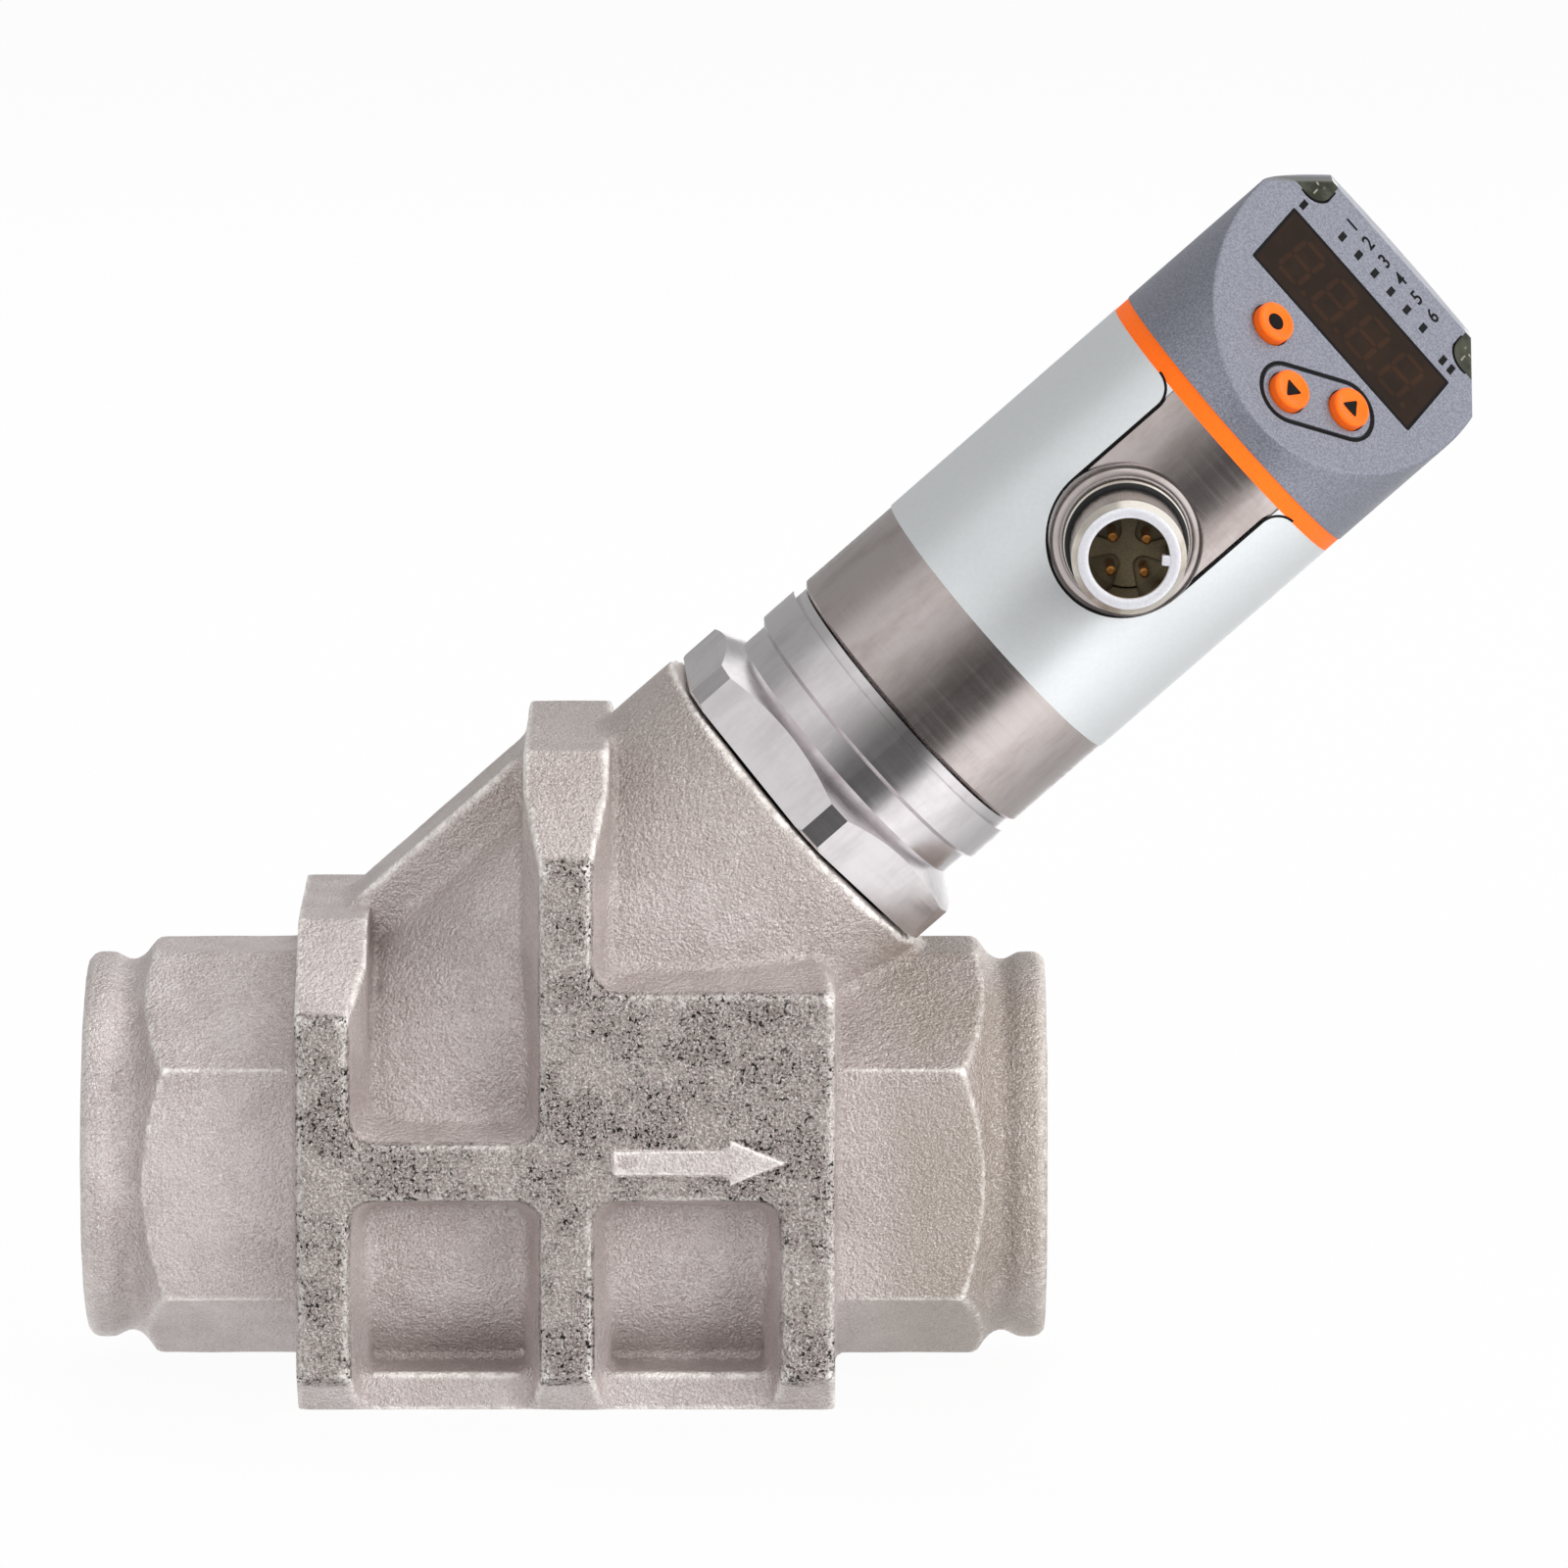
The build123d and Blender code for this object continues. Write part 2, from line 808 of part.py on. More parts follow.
# Swivel bush in the sleeve's foot and the clip that holds the head on
with BuildPart() as swivel_bush:
    bush_bore_r = swivel_r + swivel_clearance
    add(
        turned(
            [
                (bush_bore_r + bush_edge, sleeve_s0),
                (sleeve_bore_r, sleeve_s0),
                (sleeve_bore_r, bush_s1),
                (bush_bore_r + bush_edge, bush_s1),
                (bush_bore_r, bush_s1 - bush_edge),
                (bush_bore_r, sleeve_s0 + bush_edge),
            ]
        )
    )
save(swivel_bush, "swivel_bush")

with BuildPart() as retaining_clip:
    lug_spots = [
        (-clip_outer_r * math.cos(math.radians(turn)), clip_outer_r * math.sin(math.radians(turn)))
        for turn in (-clip_lug_turn, clip_lug_turn)
    ]
    with BuildSketch(across.offset(clip_s0)):
        Circle(clip_outer_r)
        with Locations((-clip_outer_r, 0)):
            Rectangle(clip_outer_r, clip_mouth, mode=Mode.SUBTRACT)
        with Locations(*lug_spots):
            Circle(clip_lug_r)
            Circle(clip_lug_hole_r, mode=Mode.SUBTRACT)
        Circle(clip_groove_r, mode=Mode.SUBTRACT)
    extrude(amount=clip_thickness)
save(retaining_clip, "retaining_clip")

# Sensor sleeve with the flat boss for the connector
sleeve_chamfer = 0.3
with BuildPart() as sensor_sleeve:
    add(
        turned(
            [
                (0, sleeve_s0),
                (sleeve_r - sleeve_chamfer, sleeve_s0),
                (sleeve_r, sleeve_s0 + sleeve_chamfer),
                (sleeve_r, sleeve_s1),
                (0, sleeve_s1),
            ]
        )
    )
    with BuildSketch(plug_plane):
        Circle(boss_r)
    extrude(amount=boss_face)
    add(
        turned(
            [
                (0, sleeve_s0 - sleeve_wall),
                (sleeve_bore_r, sleeve_s0 - sleeve_wall),
                (sleeve_bore_r, sleeve_s1 + sleeve_wall),
                (0, sleeve_s1 + sleeve_wall),
            ]
        ),
        mode=Mode.SUBTRACT,
    )
    with BuildSketch(plug_plane):
        Circle(plug_r)
    extrude(amount=plug_end, mode=Mode.SUBTRACT)
save(sensor_sleeve, "sensor_sleeve")

# Foil on the sleeve, open around the connector up to the seal ring
with BuildPart() as label_foil:
    add(
        turned(
            [
                (sleeve_r, foil_s0),
                (foil_r, foil_s0),
                (foil_r, sleeve_s1),
                (sleeve_r, sleeve_s1),
            ]
        )
    )
    window_r = foil_window_w / 2
    with BuildSketch(plug_plane):
        Circle(window_r)
        with Locations((0, (sleeve_s1 - plug_s) / 2)):
            Rectangle(foil_window_w, sleeve_s1 - plug_s)
    extrude(amount=plug_end, mode=Mode.SUBTRACT)
save(label_foil, "label_foil")


# Round plug connector
def plug_turned(points):
    # A body of revolution about the connector's axis, from (radius, distance from the sensor axis)
    section = Plane(plug_plane.origin, x_dir=cross_dir, z_dir=axis_dir * -1)
    with BuildPart(mode=Mode.PRIVATE) as body:
        with BuildSketch(section):
            with BuildLine():
                Polyline(*points, close=True)
            make_face()
        revolve(axis=plug_axis)
    return body.part


plug_bore_floor = plug_end - plug_bore_depth
plug_groove_r = plug_r - plug_groove_depth
plug_groove_y = boss_face + plug_collar_t + plug_groove_depth
with BuildPart() as connector_shell:
    add(
        plug_turned(
            [
                (plug_bore_r + plug_lip, plug_root_depth),
                (plug_r, plug_root_depth),
                (plug_r, boss_face),
                (plug_collar_r, boss_face),
                (plug_collar_r, boss_face + plug_collar_t),
                (plug_groove_r, plug_groove_y),
                (plug_groove_r, plug_groove_y + plug_groove_w),
                (plug_r, plug_groove_y + plug_groove_w + plug_groove_depth),
                (plug_r, plug_end - plug_chamfer),
                (plug_r - plug_chamfer, plug_end),
                (plug_bore_r + plug_mouth_chamfer, plug_end),
                (plug_bore_r, plug_end - plug_mouth_chamfer),
                (plug_bore_r, plug_bore_floor),
                (plug_bore_r + plug_lip, plug_bore_floor),
            ]
        )
    )
    # coding key on the bore wall
    key_plane = plug_plane.offset(plug_bore_floor)
    with BuildSketch(key_plane):
        with Locations(Location((0, 0), 45)):
            with Locations((plug_bore_r, 0)):
                SlotCenterToCenter(2 * (key_height - key_width / 2), key_width)
        Circle(plug_bore_r + plug_lip / 2, mode=Mode.INTERSECT)
    extrude(amount=plug_bore_depth - key_setback)
save(connector_shell, "connector_shell")

pin_spots = [
    (pin_circle_r * math.cos(math.radians(turn)), pin_circle_r * math.sin(math.radians(turn)))
    for turn in (0, 90, 180, 270)
]
with BuildPart() as connector_insert:
    with BuildSketch(plug_plane.offset(plug_root_depth)):
        Circle(plug_bore_r + plug_lip)
        with Locations(*pin_spots):
            Circle(pin_r, mode=Mode.SUBTRACT)
    extrude(amount=plug_bore_floor - plug_root_depth)
save(connector_insert, "connector_insert")

pin_root = board_t / 2
with BuildPart() as contact_pins:
    with BuildSketch(plug_plane.offset(pin_root)):
        with Locations(*pin_spots):
            Circle(pin_r)
    extrude(amount=plug_end - pin_recess - pin_root)
    pin_tips = contact_pins.faces().group_by(Axis.Y)[0]
    chamfer(pin_tips.edges(), length=pin_chamfer)
save(contact_pins, "contact_pins")

with BuildPart() as connector_o_ring:
    ring_r = plug_groove_r + socket_ring_wire_r
    ring_y = plug_groove_y + plug_groove_w / 2
    with BuildSketch(Plane(plug_plane.origin, x_dir=cross_dir, z_dir=axis_dir * -1)):
        with Locations((ring_r, ring_y)):
            Circle(socket_ring_wire_r)
    revolve(axis=plug_axis)
save(connector_o_ring, "connector_o_ring")

# Seal ring between sleeve and head
with BuildPart() as seal_ring:
    add(
        turned(
            [
                (head_spigot_r, sleeve_s1),
                (seal_ring_r, sleeve_s1),
                (seal_ring_r, head_s0),
                (head_spigot_r, head_s0),
            ]
        )
    )
save(seal_ring, "seal_ring")

# Display head: a round cap cut by the sloped face, hollow behind it
head_bore_r = head_r - head_wall
spigot_bore_r = head_spigot_r - head_wall
past_head_s = head_top_s + head_wall
cut_run = head_r
cut_drop = cut_run * (head_top_s - corner_cut_s) / (head_r - corner_cut_inset - corner_cut_u)
with BuildPart() as head_block:
    add(turned([(0, head_s0), (head_r, head_s0), (head_r, head_top_s), (0, head_top_s)]))
    split(bisect_by=face, keep=Keep.BOTTOM)
    with BuildSketch(side):
        for way in (-1, 1):
            with BuildLine():
                Polyline(
                    (way * corner_cut_u, head_top_s),
                    (way * (corner_cut_u + cut_run), head_top_s - cut_drop),
                    (way * (corner_cut_u + cut_run), past_head_s),
                    (way * corner_cut_u, past_head_s),
                    close=True,
                )
            make_face()
    extrude(amount=2 * head_r, both=True, mode=Mode.SUBTRACT)
    rim = head_block.edges().filter_by(lambda e: abs(face.to_local_coords(e @ 0.5).Z) < 0.01)
    fillet(rim, radius=head_edge_round)

lamp_width = 2 * (head_r - lamp_u)
lamp_height = lamp_width


def lamp_region(way):
    # Space of one corner lamp window, sunk below the display face
    with BuildPart(mode=Mode.PRIVATE) as region:
        with BuildSketch(face.offset(-lamp_depth)):
            with Locations((way * (lamp_u + lamp_width / 2), lamp_v + lamp_height / 2)):
                RectangleRounded(lamp_width, lamp_height, lamp_corner_r)
        extrude(amount=2 * lamp_depth)
    return region.part


with BuildPart() as head_cavity:
    add(
        turned(
            [
                (0, head_spigot_s - head_wall),
                (spigot_bore_r, head_spigot_s - head_wall),
                (spigot_bore_r, head_s0),
                (head_bore_r, head_s0 + head_bore_r - spigot_bore_r),
                (head_bore_r, head_top_s - head_wall),
                (0, head_top_s - head_wall),
            ]
        )
    )
    split(bisect_by=face.offset(-head_wall), keep=Keep.BOTTOM)
    with BuildSketch(side):
        for way in (-1, 1):
            with BuildLine():
                Polyline(
                    (way * (corner_cut_u - head_wall), head_top_s),
                    (way * (corner_cut_u - head_wall + cut_run), head_top_s - cut_drop),
                    (way * (corner_cut_u - head_wall + cut_run), past_head_s),
                    (way * (corner_cut_u - head_wall), past_head_s),
                    close=True,
                )
            make_face()
    extrude(amount=2 * head_r, both=True, mode=Mode.SUBTRACT)

with BuildPart() as display_head:
    add(head_block.part)
    add(
        turned(
            [
                (0, head_spigot_s),
                (head_spigot_r - spigot_chamfer, head_spigot_s),
                (head_spigot_r, head_spigot_s + spigot_chamfer),
                (head_spigot_r, head_s0 + spigot_chamfer),
                (0, head_s0 + spigot_chamfer),
            ]
        )
    )
    add(head_cavity.part, mode=Mode.SUBTRACT)
    for way in (-1, 1):
        add(lamp_region(way), mode=Mode.SUBTRACT)
    # window, unit lamps and button holes
    with BuildSketch(face.offset(head_wall)):
        with Locations((0, screen_v)):
            RectangleRounded(screen_w, screen_h, screen_corner_r)
        with Locations((0, unit_v)):
            with GridLocations(unit_pitch, 1, unit_count, 1):
                Rectangle(unit_w, unit_h)
        with Locations(*button_places.values()):
            Circle(button_r + button_gap)
    extrude(amount=-3 * head_wall, mode=Mode.SUBTRACT)
    # shallow groove round the two arrow buttons
    low_u, low_v = button_places["down"]
    high_u, high_v = button_places["up"]
    pair_gap = math.hypot(high_u - low_u, high_v - low_v)
    pair_turn = math.degrees(math.atan2(high_v - low_v, high_u - low_u))
    with BuildSketch(face):
        with Locations(((low_u + high_u) / 2, (low_v + high_v) / 2)):
            SlotCenterToCenter(pair_gap, 2 * capsule_r, rotation=pair_turn)
            SlotCenterToCenter(
                pair_gap, 2 * (capsule_r - capsule_line), rotation=pair_turn, mode=Mode.SUBTRACT
            )
    extrude(amount=-capsule_depth, mode=Mode.SUBTRACT)
save(display_head, "display_head")

# Windows let into the face
with BuildPart() as display_window:
    with BuildSketch(face.offset(-screen_t)):
        with Locations((0, screen_v)):
            RectangleRounded(screen_w - 2 * part_gap, screen_h - 2 * part_gap, screen_corner_r)
    extrude(amount=screen_t)
save(display_window, "display_window")

with BuildPart() as unit_windows:
    with BuildSketch(face.offset(-head_wall)):
        with Locations((0, unit_v)):
            with GridLocations(unit_pitch, 1, unit_count, 1):
                Rectangle(unit_w - part_gap, unit_h - part_gap)
    extrude(amount=head_wall)
save(unit_windows, "unit_windows")

for name, way in (("led_window_left", -1), ("led_window_right", 1)):
    with BuildPart() as led_window:
        add(head_block.part)
        add(lamp_region(way), mode=Mode.INTERSECT)
    save(led_window, name)

# Buttons: a dished cap on a flange that stays behind the wall
button_back = -(head_wall + button_flange_gap)
switch_top = -(face_board_drop - switch_height)
stem_end = switch_top + button_travel + rest_gap
round_mid = 1 - math.sqrt(0.5)
for name, place in button_places.items():
    with BuildPart() as button:
        button_foot = face.from_local_coords((place[0], place[1], 0))
        button_section = Plane(button_foot, x_dir=face.x_dir, z_dir=face.y_dir * -1)
        with BuildSketch(button_section):
            with BuildLine():
                Polyline(
                    (0, button_rise - button_dish),
                    (0, stem_end),
                    (button_stem_r, stem_end),
                    (button_stem_r, button_back - button_flange_t),
                    (button_flange_r, button_back - button_flange_t),
                    (button_flange_r, button_back),
                    (button_r, button_back),
                    (button_r, button_rise - button_round),
                )
                ThreePointArc(
                    (button_r, button_rise - button_round),
                    (button_r - button_round * round_mid, button_rise - button_round * round_mid),
                    (button_r - button_round, button_rise),
                )
                Spline(
                    (button_r - button_round, button_rise),
                    (0, button_rise - button_dish),
                    tangents=((-1, -0.5), (-1, 0)),
                )
            make_face()
        revolve(axis=Axis(button_foot, face.z_dir))
    save(button, f"button_{name}")

# Display board, cut to the head's inside, with its key switches, lamps and display block
face_board_plane = face.offset(-face_board_drop - face_board_t)
with BuildPart() as display_board:
    with BuildSketch(face_board_plane):
        with Locations((0, face_board_v)):
            Rectangle(2 * head_r, face_board_h)
    extrude(amount=face_board_t)
    add(head_cavity.part, mode=Mode.INTERSECT)
save(display_board, "display_board")

face_board_top = face.offset(-face_board_drop)
with BuildPart() as key_switches:
    with BuildSketch(face_board_top):
        with Locations(*button_places.values()):
            Rectangle(key_body_w, key_body_w)
    extrude(amount=key_body_h)
    with BuildSketch(face_board_top.offset(key_body_h)):
        with Locations(*button_places.values()):
            Circle(key_dome_r)
    extrude(amount=switch_height - key_body_h)
save(key_switches, "key_switches")

with BuildPart() as display_module:
    with BuildSketch(face_board_top):
        with Locations((0, screen_v)):
            Rectangle(module_w, module_h)
    extrude(amount=face_board_drop - screen_t - part_gap)
save(display_module, "display_module")

with BuildPart() as unit_lamps:
    with BuildSketch(face_board_top):
        with Locations((0, unit_v)):
            with GridLocations(unit_pitch, 1, unit_count, 1):
                Rectangle(lamp_body_w, lamp_body_h)
    extrude(amount=face_board_drop - head_wall - part_gap)
save(unit_lamps, "unit_lamps")

# Main board on two rails in the sleeve, and the flat link up to the display board
with BuildPart() as main_board:
    board_mid = (board_s0 + board_s1) / 2
    with BuildSketch(side.offset(-board_t / 2)):
        with Locations((0, board_mid)):
            Rectangle(board_w, board_s1 - board_s0)
    extrude(amount=board_t)
    with BuildSketch(side.offset(board_t / 2)):
        with Locations((0, board_s0 + chip_edge_gap)):
            with GridLocations(chip_pitch, 1, 2, 1):
                Rectangle(chip_size, chip_size)
    extrude(amount=chip_t)
save(main_board, "main_board")

with BuildPart() as board_rails:
    rail_length = board_s1 - board_s0
    with BuildSketch(across.offset(board_s0)):
        Circle(sleeve_bore_r)
        Rectangle(2 * rail_half_depth, 2 * sleeve_r, mode=Mode.INTERSECT)
        Rectangle(2 * sleeve_r, 2 * rail_inner_r, mode=Mode.SUBTRACT)
        Rectangle(board_t, board_w, mode=Mode.SUBTRACT)
    extrude(amount=rail_length)
save(board_rails, "board_rails")

with BuildPart() as board_link:
    with BuildSketch(side.offset(-board_t / 2 - link_t)):
        with Locations((0, (link_s0 + link_s1) / 2)):
            Rectangle(link_w, link_s1 - link_s0)
    extrude(amount=link_t)
    split(bisect_by=face_board_plane, keep=Keep.BOTTOM)
save(board_link, "board_link")
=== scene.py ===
import json
import math

import bmesh
import bpy
from mathutils import Matrix, Vector, noise


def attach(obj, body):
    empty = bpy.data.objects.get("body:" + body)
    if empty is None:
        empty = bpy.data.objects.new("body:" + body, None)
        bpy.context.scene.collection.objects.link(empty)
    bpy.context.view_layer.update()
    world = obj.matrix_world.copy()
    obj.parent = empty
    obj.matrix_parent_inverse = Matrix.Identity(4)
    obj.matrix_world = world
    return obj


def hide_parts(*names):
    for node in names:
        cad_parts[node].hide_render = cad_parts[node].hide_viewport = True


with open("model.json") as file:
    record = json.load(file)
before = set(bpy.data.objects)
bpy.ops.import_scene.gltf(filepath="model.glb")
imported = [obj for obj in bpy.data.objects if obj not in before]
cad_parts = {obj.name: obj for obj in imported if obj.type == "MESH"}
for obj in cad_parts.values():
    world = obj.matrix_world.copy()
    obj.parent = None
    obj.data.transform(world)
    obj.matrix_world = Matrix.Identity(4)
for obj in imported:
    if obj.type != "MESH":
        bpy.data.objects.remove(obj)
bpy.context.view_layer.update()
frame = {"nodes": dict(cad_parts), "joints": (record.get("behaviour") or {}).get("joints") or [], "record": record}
nodes = frame["nodes"]
scene = bpy.context.scene
mm = 0.001
print("frame loaded:", len(nodes), "nodes")

# The sensor axis comes from the frame: x across it, z along it
swivel = next(joint for joint in frame["joints"] if joint["name"] == "head_swivel")
axisDir = Vector(swivel["axis"]).normalized()
axisFoot = Vector(swivel["pos_m"])
crossDir = Vector((axisDir.z, 0, -axisDir.x))


def placement(origin, xDir, zDir):
    yDir = zDir.cross(xDir)
    turn = Matrix((xDir, yDir, zDir)).transposed().to_4x4()
    return Matrix.Translation(origin) @ turn


sensorFrame = placement(axisFoot, crossDir, axisDir)

# The sloped display face: x across, y up the slope, z out of the face
faceSizes = {"lowS": 121.1, "radius": 17.0, "tilt": 48.5}
tilt = math.radians(faceSizes["tilt"])
faceUp = axisDir * math.cos(tilt) + Vector((0, math.sin(tilt), 0))
faceOut = crossDir.cross(faceUp)
faceLow = axisFoot + axisDir * faceSizes["lowS"] * mm - Vector((0, faceSizes["radius"] * mm, 0))
faceFrame = placement(faceLow, crossDir, faceOut)

# The plug's axis: x across the sleeve, y along it, z out of the plug
plugSizes = {"s": 102.5, "steps": 96}
plugFrame = placement(axisFoot + axisDir * plugSizes["s"] * mm, crossDir, Vector((0, -1, 0)))


def tone(code):
    # hex colour to the linear values that a shader takes
    parts = [int(code[i:i + 2], 16) / 255 for i in (1, 3, 5)]
    linear = [c / 12.92 if c <= 0.04045 else ((c + 0.055) / 1.055) ** 2.4 for c in parts]
    return (*linear, 1.0)


# Shader building
def newGroup(name, inputs, outputs):
    tree = bpy.data.node_groups.new(name, "ShaderNodeTree")
    for label, kind, value in inputs:
        socket = tree.interface.new_socket(name=label, in_out="INPUT", socket_type=kind)
        socket.default_value = value
    for label, kind in outputs:
        tree.interface.new_socket(name=label, in_out="OUTPUT", socket_type=kind)
    return tree, tree.nodes.new("NodeGroupInput"), tree.nodes.new("NodeGroupOutput")


def addNode(tree, kind, settings=None, **sockets):
    node = tree.nodes.new(kind)
    for key, value in (settings or {}).items():
        setattr(node, key, value)
    for key, value in sockets.items():
        socket = node.inputs[key.replace("_", " ")]
        if isinstance(value, bpy.types.NodeSocket):
            tree.links.new(value, socket)
        else:
            socket.default_value = value
    return node


def mathNode(tree, operation, a, b=0.0, clamp=False):
    node = tree.nodes.new("ShaderNodeMath")
    node.operation = operation
    node.use_clamp = clamp
    for socket, value in zip(node.inputs, (a, b)):
        if isinstance(value, bpy.types.NodeSocket):
            tree.links.new(value, socket)
        else:
            socket.default_value = value
    return node.outputs[0]


def spread(tree, value, low, high, toLow=0.0, toHigh=1.0):
    # a value between low and high, stretched smoothly to new ends
    node = tree.nodes.new("ShaderNodeMapRange")
    node.interpolation_type = "SMOOTHSTEP"
    tree.links.new(value, node.inputs["Value"])
    for key, number in (("From Min", low), ("From Max", high), ("To Min", toLow), ("To Max", toHigh)):
        if isinstance(number, bpy.types.NodeSocket):
            tree.links.new(number, node.inputs[key])
        else:
            node.inputs[key].default_value = number
    return node.outputs["Result"]


def blendColour(tree, factor, a, b):
    node = tree.nodes.new("ShaderNodeMix")
    node.data_type = "RGBA"
    for socket, value in ((node.inputs[0], factor), (node.inputs[6], a), (node.inputs[7], b)):
        if isinstance(value, bpy.types.NodeSocket):
            tree.links.new(value, socket)
        else:
            socket.default_value = value
    return node.outputs[2]


def noiseValue(tree, vector, scale, detail=2.0, roughness=0.5):
    node = tree.nodes.new("ShaderNodeTexNoise")
    tree.links.new(vector, node.inputs["Vector"])
    if isinstance(scale, bpy.types.NodeSocket):
        tree.links.new(scale, node.inputs["Scale"])
    else:
        node.inputs["Scale"].default_value = scale
    node.inputs["Detail"].default_value = detail
    node.inputs["Roughness"].default_value = roughness
    return node.outputs["Fac"]


def objectCoords(tree):
    return tree.nodes.new("ShaderNodeTexCoord").outputs["Object"]


grainLook = {"broadScale": 0.45, "broadShare": 0.8, "speckScale": 1.6}


def makeGrainGroup():
    # fine sandy grain: its height, its specks and a soft mottling
    tree, inside, outside = newGroup(
        "sandGrain",
        [("Grain Size", "NodeSocketFloat", 0.5), ("Mottle Size", "NodeSocketFloat", 6.0)],
        [("Height", "NodeSocketFloat"), ("Speck", "NodeSocketFloat"), ("Mottle", "NodeSocketFloat")],
    )
    coords = objectCoords(tree)
    grainScale = mathNode(tree, "DIVIDE", 1000.0, inside.outputs["Grain Size"])
    mottleScale = mathNode(tree, "DIVIDE", 1000.0, inside.outputs["Mottle Size"])
    fine = noiseValue(tree, coords, grainScale, 2.0, 0.6)
    broadScale = mathNode(tree, "MULTIPLY", grainScale, grainLook["broadScale"])
    broad = noiseValue(tree, coords, broadScale, 1.0, 0.5)
    height = mathNode(tree, "ADD", fine, mathNode(tree, "MULTIPLY", broad, grainLook["broadShare"]))
    tree.links.new(height, outside.inputs["Height"])
    speckScale = mathNode(tree, "MULTIPLY", grainScale, grainLook["speckScale"])
    tree.links.new(noiseValue(tree, coords, speckScale, 2.0, 0.7), outside.inputs["Speck"])
    tree.links.new(noiseValue(tree, coords, mottleScale, 4.0, 0.6), outside.inputs["Mottle"])
    return tree


# where the breaking up of the worn edges with their painted highlight starts and ends, and which hollows get
# painted shade
wearSheenShadeLook = {"breakup": (0.3, 0.6, 0.35, 1.0), "hollow": (0.49, 0.44)}


def makeWearSheenShadeGroup():
    # raised edges (real wear with a painted highlight) and hollows (painted shade) from the mesh's own shape
    tree, inside, outside = newGroup(
        "edgeWearSheenAndHollowShade",
        [
            ("Edge Start", "NodeSocketFloat", 0.52),
            ("Edge Full", "NodeSocketFloat", 0.58),
            ("Breakup Size", "NodeSocketFloat", 2.0),
        ],
        [("Edge", "NodeSocketFloat"), ("Hollow Shade", "NodeSocketFloat")],
    )
    pointy = tree.nodes.new("ShaderNodeNewGeometry").outputs["Pointiness"]
    breakScale = mathNode(tree, "DIVIDE", 1000.0, inside.outputs["Breakup Size"])
    breakup = spread(tree, noiseValue(tree, objectCoords(tree), breakScale, 3.0, 0.6), *wearSheenShadeLook["breakup"])
    edge = spread(tree, pointy, inside.outputs["Edge Start"], inside.outputs["Edge Full"])
    tree.links.new(mathNode(tree, "MULTIPLY", edge, breakup), outside.inputs["Edge"])
    tree.links.new(spread(tree, pointy, *wearSheenShadeLook["hollow"]), outside.inputs["Hollow Shade"])
    return tree


pitLook = {
    "ragged": 0.0022, "fade": 0.0009, "proudFrom": 0.0262, "proudTo": 0.02635,
    "pit": (0.56, 0.61), "dotScale": 2.0, "dot": (0.55, 0.63), "cluster": (0.43, 0.56),
    "smear": (0.4, 0.62), "dotLeast": 0.3, "dotMore": 0.5,
}


def makePitGroup():
    # small dark pits on the faces at one distance from the middle plane, not on what stands proud of them
    tree, inside, outside = newGroup(
        "castingPits",
        [
            ("Plane Depth", "NodeSocketFloat", 0.0257),
            ("Pit Size", "NodeSocketFloat", 0.65),
            ("Cluster Size", "NodeSocketFloat", 6.0),
        ],
        [("Pits", "NodeSocketFloat"), ("Plane", "NodeSocketFloat"), ("Smear", "NodeSocketFloat")],
    )
    coords = objectCoords(tree)
    split = addNode(tree, "ShaderNodeSeparateXYZ", Vector=coords)
    depth = mathNode(tree, "ABSOLUTE", split.outputs["Y"])
    pitScale = mathNode(tree, "DIVIDE", 1000.0, inside.outputs["Pit Size"])
    clusterScale = mathNode(tree, "DIVIDE", 1000.0, inside.outputs["Cluster Size"])
    ragged = mathNode(tree, "MULTIPLY", noiseValue(tree, coords, clusterScale, 4.0, 0.7), pitLook["ragged"])
    above = mathNode(tree, "SUBTRACT", mathNode(tree, "ADD", depth, ragged), inside.outputs["Plane Depth"])
    onPlane = spread(tree, above, 0.0, pitLook["fade"])
    notProud = spread(tree, depth, pitLook["proudFrom"], pitLook["proudTo"], 1.0, 0.0)
    onPlane = mathNode(tree, "MULTIPLY", onPlane, notProud)
    pit = spread(tree, noiseValue(tree, coords, pitScale, 3.0, 0.7), *pitLook["pit"])
    dotScale = mathNode(tree, "MULTIPLY", pitScale, pitLook["dotScale"])
    dot = spread(tree, noiseValue(tree, coords, dotScale, 2.0, 0.6), *pitLook["dot"])
    cluster = spread(tree, noiseValue(tree, coords, clusterScale, 3.0, 0.6), *pitLook["cluster"])
    smear = spread(tree, noiseValue(tree, coords, clusterScale, 5.0, 0.7), *pitLook["smear"])
    smeared = mathNode(tree, "MULTIPLY", smear, pitLook["dotMore"])
    dotShare = mathNode(tree, "ADD", smeared, pitLook["dotLeast"])
    dots = mathNode(tree, "MULTIPLY", dot, dotShare)
    marks = mathNode(tree, "MAXIMUM", mathNode(tree, "MULTIPLY", pit, cluster), dots)
    tree.links.new(smear, outside.inputs["Smear"])
    tree.links.new(mathNode(tree, "MULTIPLY", marks, onPlane), outside.inputs["Pits"])
    tree.links.new(onPlane, outside.inputs["Plane"])
    return tree


turnedLook = {"ringStretch": (0.04, 0.04, 1.0), "stainStretch": (1.0, 1.0, 0.35)}


